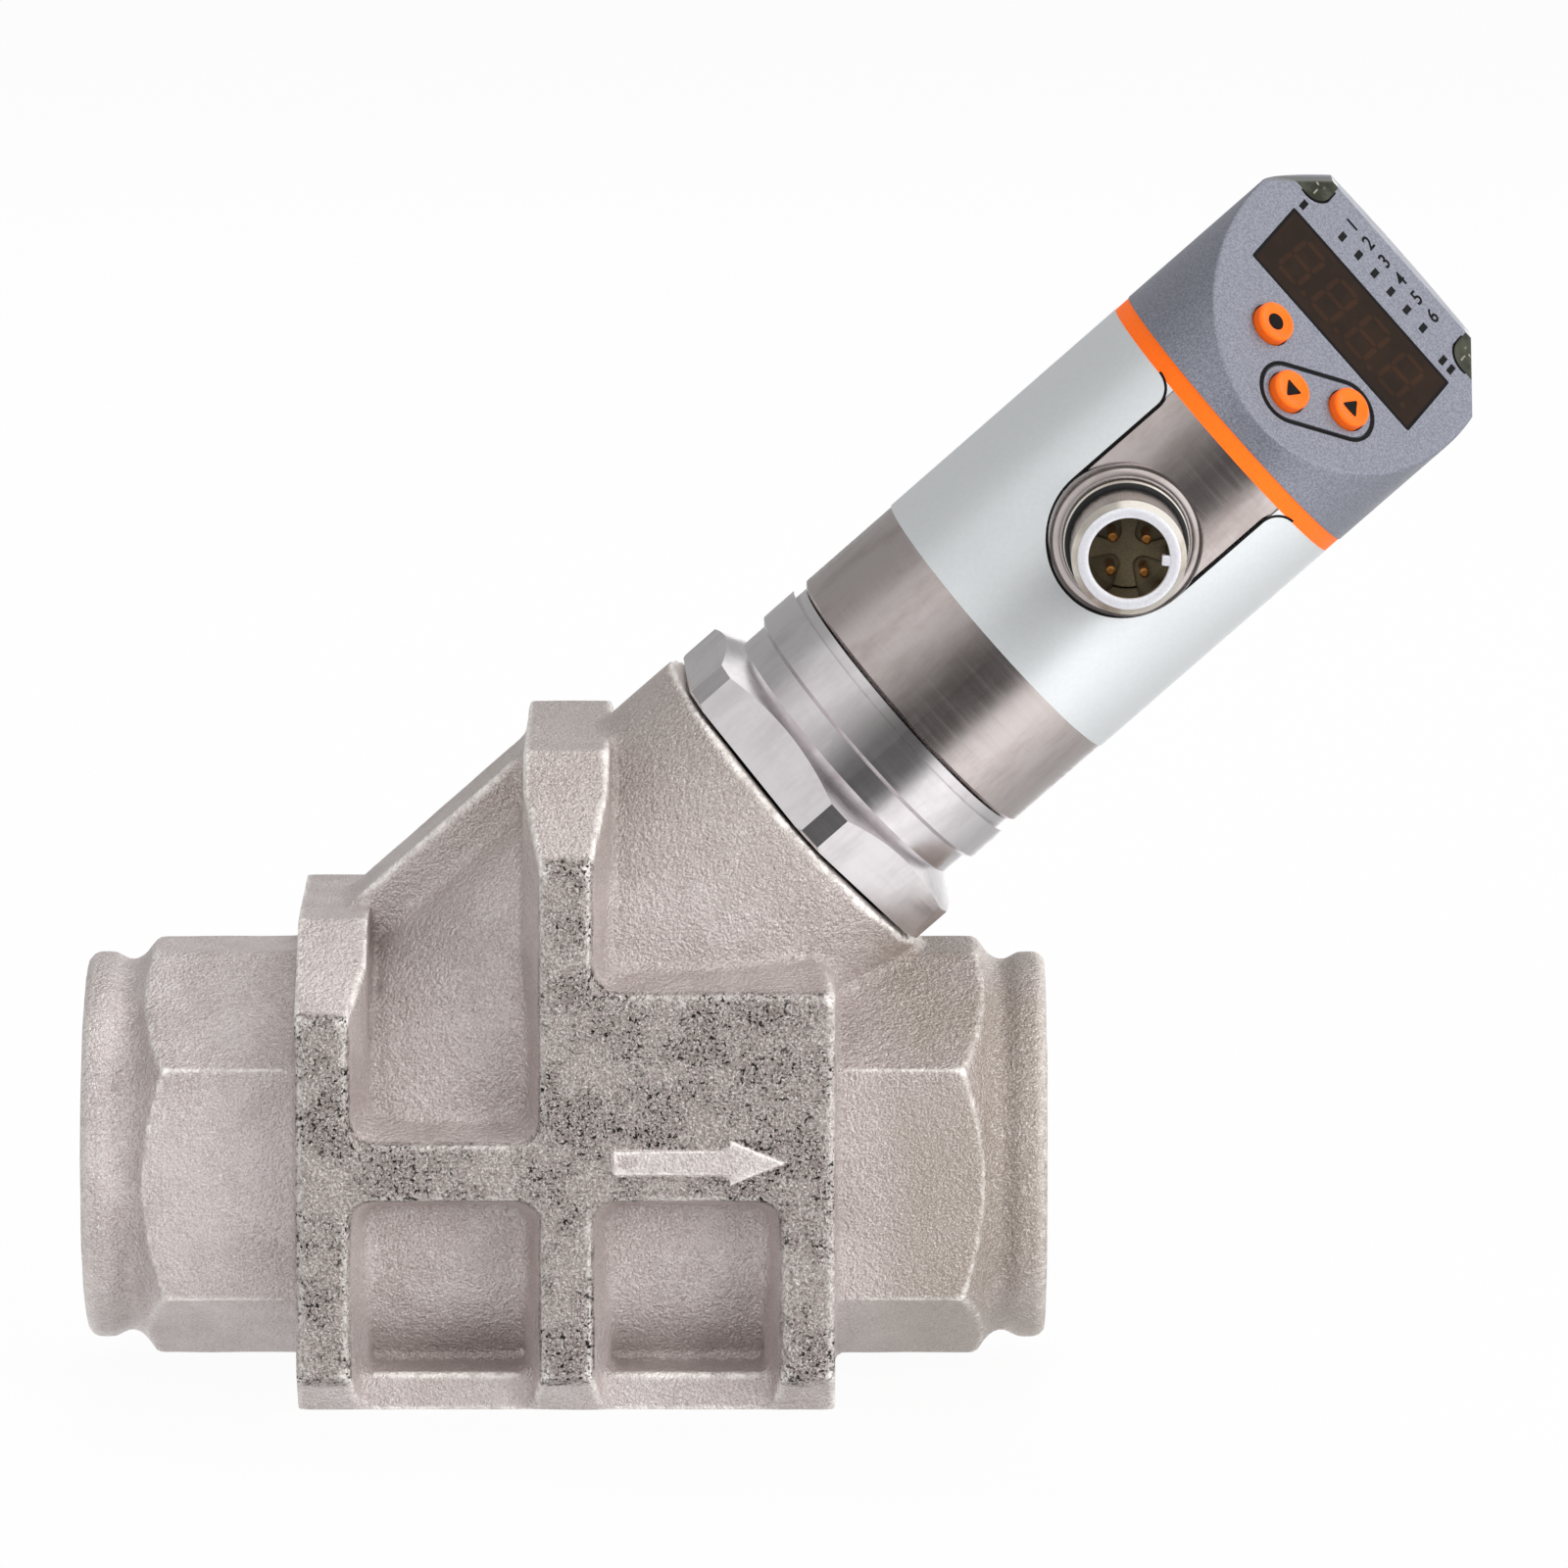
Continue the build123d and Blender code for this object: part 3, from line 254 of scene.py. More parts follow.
def makeTurnedGroup():
    # rings left by the lathe round the sensor axis, and faint stains along it
    tree, inside, outside = newGroup(
        "turnedRings",
        [("Ring Pitch", "NodeSocketFloat", 0.25), ("Stain Size", "NodeSocketFloat", 5.0)],
        [("Height", "NodeSocketFloat"), ("Stain", "NodeSocketFloat")],
    )
    turn = Matrix.Rotation(-math.atan2(axisDir.x, axisDir.z), 3, "Y")
    mapping = addNode(tree, "ShaderNodeMapping", Vector=objectCoords(tree))
    mapping.inputs["Rotation"].default_value = turn.to_euler()
    mapping.inputs["Location"].default_value = -(turn @ axisFoot)
    stretch = addNode(tree, "ShaderNodeVectorMath", {"operation": "MULTIPLY"})
    tree.links.new(mapping.outputs[0], stretch.inputs[0])
    stretch.inputs[1].default_value = turnedLook["ringStretch"]
    ringScale = mathNode(tree, "DIVIDE", 1000.0, inside.outputs["Ring Pitch"])
    stainScale = mathNode(tree, "DIVIDE", 1000.0, inside.outputs["Stain Size"])
    tree.links.new(noiseValue(tree, stretch.outputs[0], ringScale, 2.0, 0.6), outside.inputs["Height"])
    along = addNode(tree, "ShaderNodeVectorMath", {"operation": "MULTIPLY"})
    tree.links.new(mapping.outputs[0], along.inputs[0])
    along.inputs[1].default_value = turnedLook["stainStretch"]
    tree.links.new(noiseValue(tree, along.outputs[0], stainScale, 5.0, 0.65), outside.inputs["Stain"])
    return tree


grainGroup = makeGrainGroup()
wearSheenShadeGroup = makeWearSheenShadeGroup()
pitGroup = makePitGroup()
turnedGroup = makeTurnedGroup()


def useGroup(tree, group, **values):
    node = tree.nodes.new("ShaderNodeGroup")
    node.node_tree = group
    for key, value in values.items():
        node.inputs[key.replace("_", " ")].default_value = value
    return node


def newMaterial(name, **sockets):
    material = bpy.data.materials.new(name)
    material.use_nodes = True
    tree = material.node_tree
    shader = tree.nodes["Principled BSDF"]
    for key, value in sockets.items():
        shader.inputs[key.replace("_", " ")].default_value = value
    return material, tree, shader


def bumpInto(tree, shader, height, distance, strength=1.0):
    bump = addNode(tree, "ShaderNodeBump", Height=height, Distance=distance * mm, Strength=strength)
    tree.links.new(bump.outputs["Normal"], shader.inputs["Normal"])


# the edge colour is a painted highlight on raised edges over their real worn polish; the hollow colour is painted
# shade in the hollows and also tints the grain's dull specks
forgedFinish = {
    "light": "#d3c8c6", "dark": "#c0b4b1", "planeLight": "#aba09b", "planeDark": "#8d827d", "warm": "#9f9184",
    "speck": "#fbf8f6", "pit": "#1f1917", "edge": "#fffaf5", "hollow": "#8d817a",
    "metallic": 0.62, "edgeMetallic": 0.15, "roughness": 0.32, "grainSize": 0.3, "grainDepth": 0.32,
    "mottleSize": 9.0, "mottle": (0.35, 0.65), "wearSheenStart": 0.512, "wearSheenFull": 0.55, "wearSheenBreakup": 1.2,
    "stainHeight": (0.022, 0.05), "stainHigh": 0.45, "stainEnd": (0.079, 0.09), "stainFar": 0.8,
    "stainMottle": (0.3, 0.6, 0.5, 1.0), "planeShare": 0.92, "bright": (0.5, 0.68, 0.0, 0.6),
    "dull": (0.48, 0.34, 0.0, 0.45), "hollowShare": 0.35, "edgeWearSheenShare": 0.85, "rough": (0.35, 0.65),
    "roughMost": 1.15, "roughLeast": 0.85,
}


def makeForged():
    finish = forgedFinish
    material, tree, shader = newMaterial("forgedBrass")
    grain = useGroup(tree, grainGroup, Grain_Size=finish["grainSize"], Mottle_Size=finish["mottleSize"])
    wearSheenShade = useGroup(
        tree, wearSheenShadeGroup,
        Edge_Start=finish["wearSheenStart"], Edge_Full=finish["wearSheenFull"], Breakup_Size=finish["wearSheenBreakup"],
    )
    pits = useGroup(tree, pitGroup)
    mottle = grain.outputs["Mottle"]
    mottling = spread(tree, mottle, *finish["mottle"])
    colour = blendColour(tree, mottling, tone(finish["dark"]), tone(finish["light"]))
    # olive stain on the upper ribs and the outlet end
    split = addNode(tree, "ShaderNodeSeparateXYZ", Vector=objectCoords(tree))
    height, end = split.outputs["Z"], split.outputs["X"]
    high = mathNode(tree, "MULTIPLY", spread(tree, height, *finish["stainHeight"]), finish["stainHigh"])
    far = mathNode(tree, "MULTIPLY", spread(tree, end, *finish["stainEnd"]), finish["stainFar"])
    patchy = spread(tree, mottle, *finish["stainMottle"])
    stain = mathNode(tree, "MULTIPLY", mathNode(tree, "MAXIMUM", high, far), patchy)
    colour = blendColour(tree, stain, colour, tone(finish["warm"]))
    plane = blendColour(tree, pits.outputs["Smear"], tone(finish["planeLight"]), tone(finish["planeDark"]))
    onPlane = mathNode(tree, "MULTIPLY", pits.outputs["Plane"], finish["planeShare"])
    colour = blendColour(tree, onPlane, colour, plane)
    speck = spread(tree, grain.outputs["Speck"], *finish["bright"])
    colour = blendColour(tree, speck, colour, tone(finish["speck"]))
    dull = spread(tree, grain.outputs["Speck"], *finish["dull"])
    # painted shade: hollows darkened, in the same colour as the grain's dull specks
    sunkenShade = mathNode(tree, "MULTIPLY", wearSheenShade.outputs["Hollow Shade"], finish["hollowShare"])
    colour = blendColour(tree, mathNode(tree, "MAXIMUM", sunkenShade, dull), colour, tone(finish["hollow"]))
    # painted highlight: raised edges lightened, over their real worn polish
    edge = mathNode(tree, "MULTIPLY", wearSheenShade.outputs["Edge"], finish["edgeWearSheenShare"])
    colour = blendColour(tree, edge, colour, tone(finish["edge"]))
    colour = blendColour(tree, pits.outputs["Pits"], colour, tone(finish["pit"]))
    tree.links.new(colour, shader.inputs["Base Color"])
    bright = mathNode(tree, "MAXIMUM", edge, speck)
    metal = spread(tree, bright, 0.0, 1.0, finish["metallic"], finish["edgeMetallic"])
    tree.links.new(metal, shader.inputs["Metallic"])
    most, least = finish["roughness"] * finish["roughMost"], finish["roughness"] * finish["roughLeast"]
    rough = spread(tree, grain.outputs["Speck"], *finish["rough"], most, least)
    tree.links.new(rough, shader.inputs["Roughness"])
    sunk = mathNode(tree, "SUBTRACT", grain.outputs["Height"], pits.outputs["Pits"])
    bumpInto(tree, shader, sunk, finish["grainDepth"])
    return material


steelFinishes = {
    "turnedSteel": {"base": "#c0b7b5", "stain": "#aa9f9b", "roughness": 0.24, "pitch": 0.6, "depth": 0.0012},
    "brightSteel": {"base": "#d9d5d7", "stain": "#c9c4c5", "roughness": 0.2, "pitch": 0.5, "depth": 0.0012},
    "springSteel": {"base": "#9d9d9f", "stain": "#85858a", "roughness": 0.3, "pitch": 0.6, "depth": 0.002},
    "plugMetal": {"base": "#d3cec6", "stain": "#b9b0a4", "roughness": 0.16, "pitch": 0.8, "depth": 0.001},
    "goldPlate": {"base": "#e8a55a", "stain": "#d08f49", "roughness": 0.2, "pitch": 0.4, "depth": 0.001},
}


steelLook = {
    "stainSize": 6.0, "stain": (0.42, 0.68), "dustSize": 0.3, "dust": (0.6, 0.72, 0.0, 0.35),
    "rough": (0.3, 0.7), "roughLeast": 0.85, "roughMost": 1.2,
}


def makeSteel(name):
    finish = steelFinishes[name]
    material, tree, shader = newMaterial(name, Metallic=1.0)
    rings = useGroup(tree, turnedGroup, Ring_Pitch=finish["pitch"], Stain_Size=steelLook["stainSize"])
    stain = spread(tree, rings.outputs["Stain"], *steelLook["stain"])
    colour = blendColour(tree, stain, tone(finish["base"]), tone(finish["stain"]))
    dust = useGroup(tree, grainGroup, Grain_Size=steelLook["dustSize"])
    dark = spread(tree, dust.outputs["Speck"], *steelLook["dust"])
    colour = blendColour(tree, dark, colour, tone(finish["stain"]))
    tree.links.new(colour, shader.inputs["Base Color"])
    least, most = finish["roughness"] * steelLook["roughLeast"], finish["roughness"] * steelLook["roughMost"]
    rough = spread(tree, rings.outputs["Height"], *steelLook["rough"], least, most)
    tree.links.new(rough, shader.inputs["Roughness"])
    bumpInto(tree, shader, rings.outputs["Height"], finish["depth"])
    return material


mouldedFinishes = {
    "greyHousing": {
        "base": "#8b8d97", "dark": "#6e707b",
        "roughness": 0.38, "metallic": 0.4, "grain": 0.34, "depth": 0.009,
    },
    "foil": {
        "base": "#d6d9db", "dark": "#d3d6d8",
        "roughness": 0.3, "metallic": 0.5, "grain": 0.8, "depth": 0.0005,
    },
    "orangeRubber": {
        "base": "#ff7014", "dark": "#fb6a10",
        "roughness": 0.55, "metallic": 0.0, "grain": 0.4, "depth": 0.006,
    },
    "orangeButton": {
        "base": "#ff6c14", "dark": "#fc6810",
        "roughness": 0.35, "metallic": 0.0, "grain": 0.4, "depth": 0.005,
    },
    "sealRubber": {
        "base": "#1a1a1b", "dark": "#141415",
        "roughness": 0.6, "metallic": 0.0, "grain": 0.5, "depth": 0.01,
    },
    "plugInsert": {
        "base": "#7d735a", "dark": "#6c634d",
        "roughness": 0.5, "metallic": 0.0, "grain": 0.3, "depth": 0.01,
    },
    "circuitBoard": {
        "base": "#1c5a36", "dark": "#17502f",
        "roughness": 0.4, "metallic": 0.0, "grain": 0.6, "depth": 0.004,
    },
    "blackMoulding": {
        "base": "#1b1b1c", "dark": "#161617",
        "roughness": 0.45, "metallic": 0.0, "grain": 0.5, "depth": 0.006,
    },
    "acetal": {
        "base": "#ddd8ca", "dark": "#d5cfbf",
        "roughness": 0.4, "metallic": 0.0, "grain": 0.6, "depth": 0.004,
    },
    "flatCable": {
        "base": "#b5702c", "dark": "#a96726",
        "roughness": 0.3, "metallic": 0.0, "grain": 0.8, "depth": 0.003,
    },
    "magnetBlock": {
        "base": "#454547", "dark": "#3b3b3d",
        "roughness": 0.5, "metallic": 0.6, "grain": 0.4, "depth": 0.01,
    },
    "glint": {
        "base": "#8e8a78", "dark": "#4e4c40",
        "roughness": 0.2, "metallic": 0.0, "grain": 1.2, "depth": 0.001,
    },
    "satinRim": {
        "base": "#d8d8dd", "dark": "#cfcfd5",
        "roughness": 0.3, "metallic": 0.3, "grain": 0.5, "depth": 0.001,
    },
}


mouldedLook = {
    "specular": 0.3, "mottleSize": 3.0, "fleck": (0.35, 0.65), "rough": (0.3, 0.7),
    "roughLeast": 0.92, "roughMost": 1.08,
}


def makeMoulded(name):
    finish = mouldedFinishes[name]
    specular = mouldedLook["specular"]
    material, tree, shader = newMaterial(name, Metallic=finish["metallic"], Specular_IOR_Level=specular)
    grain = useGroup(tree, grainGroup, Grain_Size=finish["grain"], Mottle_Size=mouldedLook["mottleSize"])
    fleck = spread(tree, grain.outputs["Speck"], *mouldedLook["fleck"])
    colour = blendColour(tree, fleck, tone(finish["dark"]), tone(finish["base"]))
    tree.links.new(colour, shader.inputs["Base Color"])
    least = finish["roughness"] * mouldedLook["roughLeast"]
    most = finish["roughness"] * mouldedLook["roughMost"]
    rough = spread(tree, grain.outputs["Mottle"], *mouldedLook["rough"], least, most)
    tree.links.new(rough, shader.inputs["Roughness"])
    bumpInto(tree, shader, grain.outputs["Height"], finish["depth"])
    return material


glossFinishes = {
    "darkWindow": {"base": "#24150a", "dark": "#1c1007", "roughness": 0.12},
    "ghostSegment": {"base": "#301c0d", "dark": "#28170a", "roughness": 0.12},
    "smokyLamp": {"base": "#45473d", "dark": "#26281f", "roughness": 0.08},
    "blackLamp": {"base": "#101010", "dark": "#0c0c0c", "roughness": 0.15},
    "blackPrint": {"base": "#0f0e0e", "dark": "#0b0a0a", "roughness": 0.5},
}


glossLook = {
    "specular": 0.12, "grainSize": 2.5, "mottleSize": 4.0, "mottle": (0.35, 0.65), "rough": (0.3, 0.7),
    "roughMost": 1.4,
}


def makeGloss(name):
    finish = glossFinishes[name]
    material, tree, shader = newMaterial(name, Specular_IOR_Level=glossLook["specular"])
    grain = useGroup(
        tree, grainGroup, Grain_Size=glossLook["grainSize"], Mottle_Size=glossLook["mottleSize"],
    )
    mottle = grain.outputs["Mottle"]
    mottling = spread(tree, mottle, *glossLook["mottle"])
    colour = blendColour(tree, mottling, tone(finish["dark"]), tone(finish["base"]))
    tree.links.new(colour, shader.inputs["Base Color"])
    most = finish["roughness"] * glossLook["roughMost"]
    rough = spread(tree, mottle, *glossLook["rough"], finish["roughness"], most)
    tree.links.new(rough, shader.inputs["Roughness"])
    return material


finishes = {"forgedBrass": makeForged()}
finishes.update({name: makeSteel(name) for name in steelFinishes})
finishes.update({name: makeMoulded(name) for name in mouldedFinishes})
finishes.update({name: makeGloss(name) for name in glossFinishes})
print("materials made:", len(finishes))

slotFinishes = {
    "forged_brass": "forgedBrass", "stainless": "turnedSteel", "foil": "foil", "spring_steel": "springSteel",
    "magnet": "magnetBlock", "seal_rubber": "sealRubber", "orange_rubber": "orangeRubber",
    "orange_button": "orangeButton", "grey_housing": "greyHousing", "dark_window": "darkWindow",
    "smoky_lamp": "smokyLamp", "black_lamp": "blackLamp", "plug_metal": "plugMetal",
    "plug_insert": "plugInsert", "gold": "goldPlate", "board": "circuitBoard", "black_block": "blackMoulding",
    "bush_plastic": "acetal", "copper_flex": "flatCable",
}
for part in frame["record"]["subparts"]:
    node = nodes[part["node"]]
    node.data.materials.clear()
    node.data.materials.append(finishes[slotFinishes[part["material_slot"]]])
nodes["hex_adapter"].data.materials[0] = finishes["brightSteel"]
print("finishes given to the packed nodes")


# Piece building
def addPiece(name, bm, body, finishName, placed=None, smooth=True):
    if placed is not None:
        bm.transform(placed)
    mesh = bpy.data.meshes.new(name)
    bm.to_mesh(mesh)
    bm.free()
    return addMesh(name, mesh, body, finishName, smooth)


def addMesh(name, mesh, body, finishName, smooth=True):
    piece = bpy.data.objects.new(name, mesh)
    scene.collection.objects.link(piece)
    mesh.materials.clear()
    mesh.materials.append(finishes[finishName])
    if smooth:
        mesh.polygons.foreach_set("use_smooth", [True] * len(mesh.polygons))
    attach(piece, body)
    return piece


def addPrint(name, bm, body="head"):
    # black print on the display face
    return addPiece(name, bm, body, "blackPrint", faceFrame, smooth=False)


def vertsIn(items):
    return [item for item in items if isinstance(item, bmesh.types.BMVert)]


def toMetres(bm):
    bmesh.ops.scale(bm, verts=bm.verts, vec=(mm, mm, mm))


def bevelBetween(bm, verts, offset, steps=3):
    # rounds the edges that run between these points
    edges = [edge for edge in bm.edges if all(vertex in verts for vertex in edge.verts)]
    bmesh.ops.bevel(bm, geom=edges, offset=offset, affect="EDGES", segments=steps, profile=0.5, material=-1)


def turnForward(face):
    face.normal_update()
    if face.normal.z < 0:
        face.normal_flip()


def addPatch(bm, u, v, width, height, lift):
    # small rectangle on the display face
    patch = bmesh.ops.create_grid(bm, x_segments=1, y_segments=1, size=0.5)["verts"]
    bmesh.ops.scale(bm, verts=patch, vec=(width, height, 1))
    bmesh.ops.translate(bm, verts=patch, vec=(u, v, lift))


def softened(nodeName, form):
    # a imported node's form with the soft edges of a forging, as a new mesh
    bm = bmesh.new()
    bm.from_mesh(nodes[nodeName].data)
    bmesh.ops.remove_doubles(bm, verts=bm.verts, dist=form["merge"] * mm)
    bmesh.ops.recalc_face_normals(bm, faces=bm.faces)
    rough = bpy.data.meshes.new(nodeName + "Rough")
    bm.to_mesh(rough)
    bm.free()
    holder = bpy.data.objects.new(nodeName + "Rough", rough)
    scene.collection.objects.link(holder)
    remesh = holder.modifiers.new("remesh", "REMESH")
    remesh.mode = "VOXEL"
    remesh.voxel_size = form["voxel"] * mm
    smoothing = holder.modifiers.new("smooth", "SMOOTH")
    smoothing.factor = form["factor"]
    smoothing.iterations = form["rounds"]
    graph = bpy.context.evaluated_depsgraph_get()
    mesh = bpy.data.meshes.new_from_object(holder.evaluated_get(graph))
    bpy.data.objects.remove(holder)
    return mesh


bodyForm = {
    "merge": 0.002, "voxel": 0.56, "rounds": 2, "factor": 0.5, "wave": 0.06, "waveSize": 5.0,
    "length": 102.0, "boreRadius": 15.6, "chamberRadius": 16.8, "chamberEnd": 56.0,
    "threadWallRadius": 14.6, "threadWallStart": 4.2, "threadWallEnd": 15.6,
}


def isInside(point):
    # whether a point of the body's skin lies in its water ways
    pipeRadius = math.hypot(point.y, point.z)
    local = sensorFrame.inverted() @ point
    chamberRadius = math.hypot(local.x, local.y)
    inBore = pipeRadius < bodyForm["boreRadius"] * mm
    inChamber = chamberRadius < bodyForm["chamberRadius"] * mm and 0 < local.z < bodyForm["chamberEnd"] * mm
    return inBore or inChamber


def isThreaded(point):
    # whether a point lies on the plain wall that the thread's ridges stand for
    fromMouth = min(point.x, bodyForm["length"] * mm - point.x)
    radius = math.hypot(point.y, point.z)
    inReach = bodyForm["threadWallStart"] * mm < fromMouth < bodyForm["threadWallEnd"] * mm
    return radius > bodyForm["threadWallRadius"] * mm and inReach


def makeForgedBody():
    # the outer skin and the water ways are two pieces that meet at the mouths
    whole = softened("valve_body", bodyForm)
    for name, wanted in (("forged_body", False), ("body_water_ways", True)):
        bm = bmesh.new()
        bm.from_mesh(whole)
        others = [face for face in bm.faces if isInside(face.calc_center_median()) != wanted]
        bmesh.ops.delete(bm, geom=others, context="FACES")
        if wanted:
            walls = [face for face in bm.faces if isThreaded(face.calc_center_median())]
            bmesh.ops.delete(bm, geom=walls, context="FACES")
        for vertex in bm.verts:
            swell = noise.noise(vertex.co / (bodyForm["waveSize"] * mm))
            vertex.co += vertex.normal * swell * bodyForm["wave"] * mm
        print(name + ":", len(bm.faces), "faces")
        piece = addPiece(name, bm, "housing", "forgedBrass")
        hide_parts("valve_body")


makeForgedBody()

# Raised flow arrow with crisp edges, on the front panel
arrowSizes = {
    "x": 56.3, "z": 3.4, "length": 18.0, "shaft": 2.6, "head": 4.9, "headLength": 5.8,
    "back": 25.8, "front": 26.5, "edge": 0.28,
}


def makeArrow():
    sizes = arrowSizes
    neck = sizes["length"] - sizes["headLength"]
    half, wide = sizes["shaft"] / 2, sizes["head"] / 2
    outline = [
        (0, -half), (neck, -half), (neck, -wide), (sizes["length"], 0), (neck, wide), (neck, half), (0, half),
    ]
    bm = bmesh.new()
    face = bm.faces.new([bm.verts.new((sizes["x"] + x, -sizes["back"], sizes["z"] + z)) for x, z in outline])
    raised = bmesh.ops.extrude_face_region(bm, geom=[face])["geom"]
    top = vertsIn(raised)
    bmesh.ops.translate(bm, verts=top, vec=(0, sizes["back"] - sizes["front"], 0))
    bevelBetween(bm, top, sizes["edge"])
    bmesh.ops.recalc_face_normals(bm, faces=bm.faces)
    toMetres(bm)
    return addPiece("flow_arrow", bm, "housing", "forgedBrass", smooth=False)


makeArrow()


# Pieces turned about the plug's axis: the rounded boss, the satin rim and the insert's petals
def turnedOnPlug(name, profile, finishName):
    bm = bmesh.new()
    verts = [bm.verts.new((radius * mm, 0, height * mm)) for radius, height in profile]
    edges = [bm.edges.new(pair) for pair in zip(verts, verts[1:])]
    bmesh.ops.spin(
        bm, geom=verts + edges, cent=(0, 0, 0), axis=(0, 0, 1), angle=2 * math.pi,
        steps=plugSizes["steps"], use_merge=True,
    )
    bmesh.ops.recalc_face_normals(bm, faces=bm.faces)
    return addPiece(name, bm, "head", finishName, plugFrame)


bossSizes = {
    "innerRadius": 6.75, "outerRadius": 8.2, "low": 13.6, "high": 17.35, "round": 1.5, "steps": 10,
}


def makeBoss():
    # closed ring whose outer edge is rounded well into the sleeve
    sizes = bossSizes
    profile = [(sizes["innerRadius"], sizes["low"]), (sizes["innerRadius"], sizes["high"])]
    for step in range(sizes["steps"] + 1):
        turn = math.pi / 2 * step / sizes["steps"]
        profile.append((
            sizes["outerRadius"] - sizes["round"] * (1 - math.sin(turn)),
            sizes["high"] - sizes["round"] * (1 - math.cos(turn)),
        ))
    profile += [(sizes["outerRadius"], sizes["low"]), (sizes["innerRadius"], sizes["low"])]
    return turnedOnPlug("boss_round", profile, "turnedSteel")


rimSizes = {"innerRadius": 4.25, "outerRadius": 5.35, "start": 28.9, "end": 29.06, "edge": 0.08}


def makeRim():
    sizes = rimSizes
    inner, outer, edge = sizes["innerRadius"], sizes["outerRadius"], sizes["edge"]
    start, end = sizes["start"], sizes["end"]
    profile = [
        (inner, start), (inner, end - edge), (inner + edge, end), (outer - edge, end), (outer, end - edge),
        (outer, start), (inner, start),
    ]
    return turnedOnPlug("plug_rim", profile, "satinRim")


# The pale coding key that stands in from the rim, between two pins
keySizes = {"turn": 45.0, "inner": 3.4, "outer": 4.28, "width": 1.1, "low": 27.6, "high": 29.0, "edge": 0.14}


def makeKey():
    sizes = keySizes
    length, height = sizes["outer"] - sizes["inner"], sizes["high"] - sizes["low"]
    middle = ((sizes["inner"] + sizes["outer"]) / 2, 0, (sizes["low"] + sizes["high"]) / 2)
    bm = bmesh.new()
    bmesh.ops.create_cube(bm, size=1.0)
    bmesh.ops.scale(bm, verts=bm.verts, vec=(length, sizes["width"], height))
    bevelBetween(bm, bm.verts[:], sizes["edge"])
    bmesh.ops.translate(bm, verts=bm.verts, vec=middle)
    turn = Matrix.Rotation(math.radians(sizes["turn"]), 3, "Z")
    bmesh.ops.rotate(bm, verts=bm.verts, cent=(0, 0, 0), matrix=turn)
    toMetres(bm)
    return addPiece("plug_key", bm, "head", "satinRim", plugFrame)


petalSizes = {
    "radius": 4.12, "low": 20.9, "high": 21.9, "pinCircle": 2.475, "pinTurn": 0.0, "pocket": 1.05,
    "steps": 144, "edge": 0.12,
}


def makePetals():
    # the raised plate of the insert, which stands back round each pin
    sizes = petalSizes
    bm = bmesh.new()
    bmesh.ops.create_circle(bm, cap_ends=True, segments=sizes["steps"], radius=sizes["radius"])
    for vertex in bm.verts:
        turn = math.atan2(vertex.co.y, vertex.co.x)
        off = (turn - math.radians(sizes["pinTurn"]) + math.pi / 4) % (math.pi / 2) - math.pi / 4
        reach = sizes["pocket"] ** 2 - (sizes["pinCircle"] * math.sin(off)) ** 2
        if reach > 0:
            vertex.co *= (sizes["pinCircle"] * math.cos(off) - math.sqrt(reach)) / sizes["radius"]
    raised = bmesh.ops.extrude_face_region(bm, geom=bm.faces[:])["geom"]
    top = vertsIn(raised)
    bmesh.ops.translate(bm, verts=top, vec=(0, 0, sizes["high"] - sizes["low"]))
    bmesh.ops.translate(bm, verts=bm.verts, vec=(0, 0, sizes["low"]))
    bevelBetween(bm, top, sizes["edge"], steps=2)
    bmesh.ops.recalc_face_normals(bm, faces=bm.faces)
    toMetres(bm)
    return addPiece("insert_petals", bm, "head", "plugInsert", plugFrame, smooth=False)


makeBoss()
makeRim()
makeKey()
makePetals()
print("arrow and plug finished")

# Black line round the foil's opening, wrapped on the sleeve
foilSizes = {
    "radius": 16.97, "windowRadius": 8.4, "end": 116.5, "line": 0.28, "cornerRadius": 2.2,
    "longest": 5, "cuts": 10, "arcSteps": 48, "cornerSteps": 10,
}


